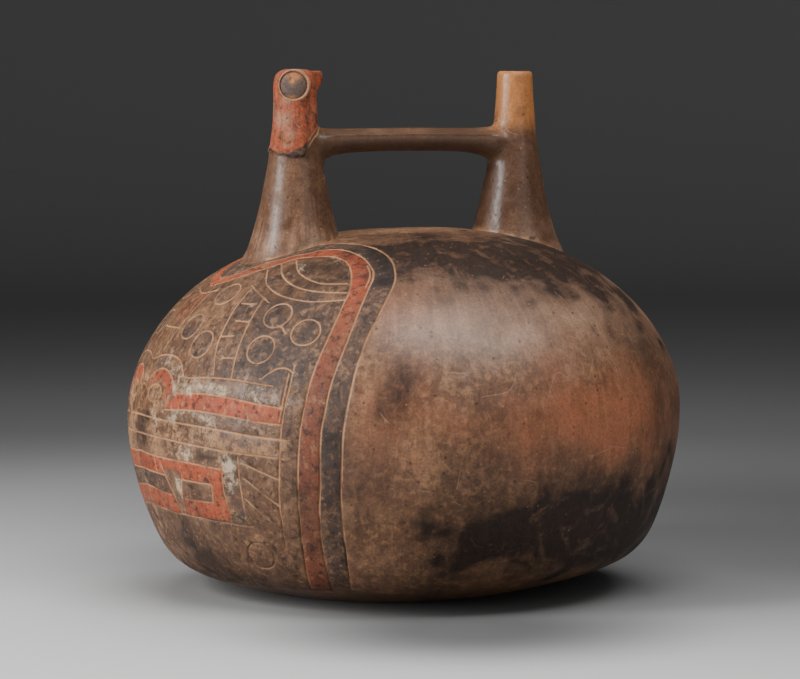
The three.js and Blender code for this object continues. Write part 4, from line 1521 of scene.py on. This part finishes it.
class OBJECT_OT_build_clay_vessel(bpy.types.Operator):
    """Build the fired clay bottle as one piece"""

    bl_idname = "object.build_clay_vessel"
    bl_label = "Build clay vessel"

    def execute(self, context):
        vessel = build_vessel(context.scene.vessel_sizes)
        if len(vessel.data.polygons) < FEWEST_FACES:
            raise RuntimeError("the bottle's pieces didn't join")
        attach(vessel, "root")
        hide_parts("vessel")
        return {"FINISHED"}


def soft_light(name, place, target, width, height, power):
    """A soft rectangular light at a place, facing its target."""
    light = bpy.data.lights.new(name, "AREA")
    light.shape = "RECTANGLE"
    light.size = width
    light.size_y = height
    light.energy = power
    lamp = bpy.data.objects.new(name, light)
    lamp.location = place
    lamp.rotation_euler = (Vector(target) - Vector(place)).to_track_quat("-Z", "Y").to_euler()
    bpy.context.scene.collection.objects.link(lamp)
    return lamp


def round_about(azimuth, distance, height):
    """A place at an angle round the bottle, measured as the camera's is."""
    return (distance * math.sin(azimuth), -distance * math.cos(azimuth), height)


def sweep_floor():
    """The floor, which curves up into a wall all round: a line, a quarter circle and a line, turned."""
    reach, bend, top = 3.0, 1.4, 3.5
    quarter = np.linspace(0, math.pi / 2, 24)
    line = np.vstack([
        [(0.02, 0), (reach - bend, 0)],
        np.stack([reach - bend + bend * np.sin(quarter), bend * (1 - np.cos(quarter))], axis=1),
        [(reach, top)],
    ])
    turn = np.linspace(0, 2 * math.pi, 96, endpoint=False)
    across = line[:, :1]
    rings = np.stack([across * np.cos(turn), across * np.sin(turn), line[:, 1:] + 0 * turn], axis=2)
    index = np.arange(rings.shape[0] * len(turn)).reshape(-1, len(turn))
    beside = np.roll(index, -1, axis=1)
    sides = np.stack([index[:-1], index[1:], beside[1:], beside[:-1]], axis=-1).reshape(-1, 4)
    mesh = bpy.data.meshes.new("floor")
    mesh.from_pydata(rings.reshape(-1, 3).tolist(), [], sides.tolist() + [index[0].tolist()])
    mesh.shade_smooth()
    floor = bpy.data.objects.new("floor", mesh)
    bpy.context.scene.collection.objects.link(floor)
    return floor


class SCENE_OT_build_vessel_studio(bpy.types.Operator):
    """Build the floor, the soft lights and the camera"""

    bl_idname = "scene.build_vessel_studio"
    bl_label = "Build studio"

    def execute(self, context):
        studio = context.scene.studio_sizes
        floor = sweep_floor()
        azimuth = studio.camera_azimuth
        # The place before the bottle from which the floor's painted shade darkens with distance
        front = round_about(azimuth - 0.25, 0.36, 0)
        # Painted shadows of the bottle on the floor: one just before it and one to its right, further back
        painted_shadows = [
            (round_about(azimuth + 0.207, 0.102, 0), 0.015, 0.09, 0.28),
            (round_about(azimuth + 2.39, 0.19, 0), 0.08, 0.34, 0.34),
        ]
        floor.data.materials.append(floor_material(tuple(studio.floor_colour), front, painted_shadows))

        world = bpy.data.worlds.new("studio")
        world.use_nodes = True
        background = world.node_tree.nodes["Background"]
        background.inputs["Color"].default_value = (0.9, 0.95, 1.0, 1.0)
        background.inputs["Strength"].default_value = studio.sky
        context.scene.world = world

        middle = (0, 0, 0.09)
        beside = round_about(azimuth + math.pi / 2, 0.28, 0.09)
        foot = (0, 0, 0.02)
        # Name, degrees round from the camera, distance, height, target, width, height, power, if in gloss
        lights = [
            ("top light", 42, 0.5, 1.08, beside, 1.0, 0.45, studio.top_light, True),
            ("side light", -62, 0.9, 0.4, middle, 0.25, 0.8, studio.side_light, True),
            ("fill light", 36, 1.1, 0.6, middle, 0.7, 0.6, studio.fill_light, True),
            ("back light", 186, 0.5, 0.72, middle, 0.6, 0.4, studio.back_light, False),
            ("low light", 6, 1.0, 0.07, foot, 0.9, 0.1, studio.low_light, False),
        ]
        for name, turn, distance, height, target, width, tall, power, in_gloss in lights:
            place = round_about(azimuth + math.radians(turn), distance, height)
            lamp = soft_light(name, place, target, width, tall, power)
            lamp.visible_glossy = in_gloss

        camera_data = bpy.data.cameras.new("camera")
        camera_data.lens = studio.lens
        camera_data.sensor_width = 36
        camera_data.clip_end = 50
        camera = bpy.data.objects.new("camera", camera_data)
        context.scene.collection.objects.link(camera)
        place = Vector(round_about(azimuth, studio.camera_distance, studio.camera_height))
        right = Vector((math.cos(azimuth), math.sin(azimuth), 0))
        camera.location = place - right * studio.camera_slide
        camera.rotation_euler = (math.pi / 2 - studio.camera_pitch, 0, azimuth)
        context.scene.camera = camera
        return {"FINISHED"}


class VIEW3D_PT_vessel(bpy.types.Panel):
    """Lists the bottle's and the studio's operators with their sizes"""

    bl_idname = "VIEW3D_PT_vessel"
    bl_label = "Double spout vessel"
    bl_space_type = "VIEW_3D"
    bl_region_type = "UI"
    bl_category = "Vessel"

    def draw(self, context):
        for operator, settings in (
            (OBJECT_OT_build_clay_vessel, context.scene.vessel_sizes),
            (SCENE_OT_build_vessel_studio, context.scene.studio_sizes),
        ):
            box = self.layout.box()
            box.operator(operator.bl_idname)
            for name in settings.__annotations__:
                box.prop(settings, name)


CLASSES = (
    VesselSizes,
    StudioSizes,
    OBJECT_OT_build_clay_vessel,
    SCENE_OT_build_vessel_studio,
    VIEW3D_PT_vessel,
)


def register():
    for cls in CLASSES:
        bpy.utils.register_class(cls)
    bpy.types.Scene.vessel_sizes = bpy.props.PointerProperty(type=VesselSizes)
    bpy.types.Scene.studio_sizes = bpy.props.PointerProperty(type=StudioSizes)


def unregister():
    del bpy.types.Scene.studio_sizes
    del bpy.types.Scene.vessel_sizes
    for cls in reversed(CLASSES):
        bpy.utils.unregister_class(cls)


def main():
    register()
    bpy.ops.object.build_clay_vessel()
    bpy.ops.scene.build_vessel_studio()


if __name__ == "__main__":
    main()
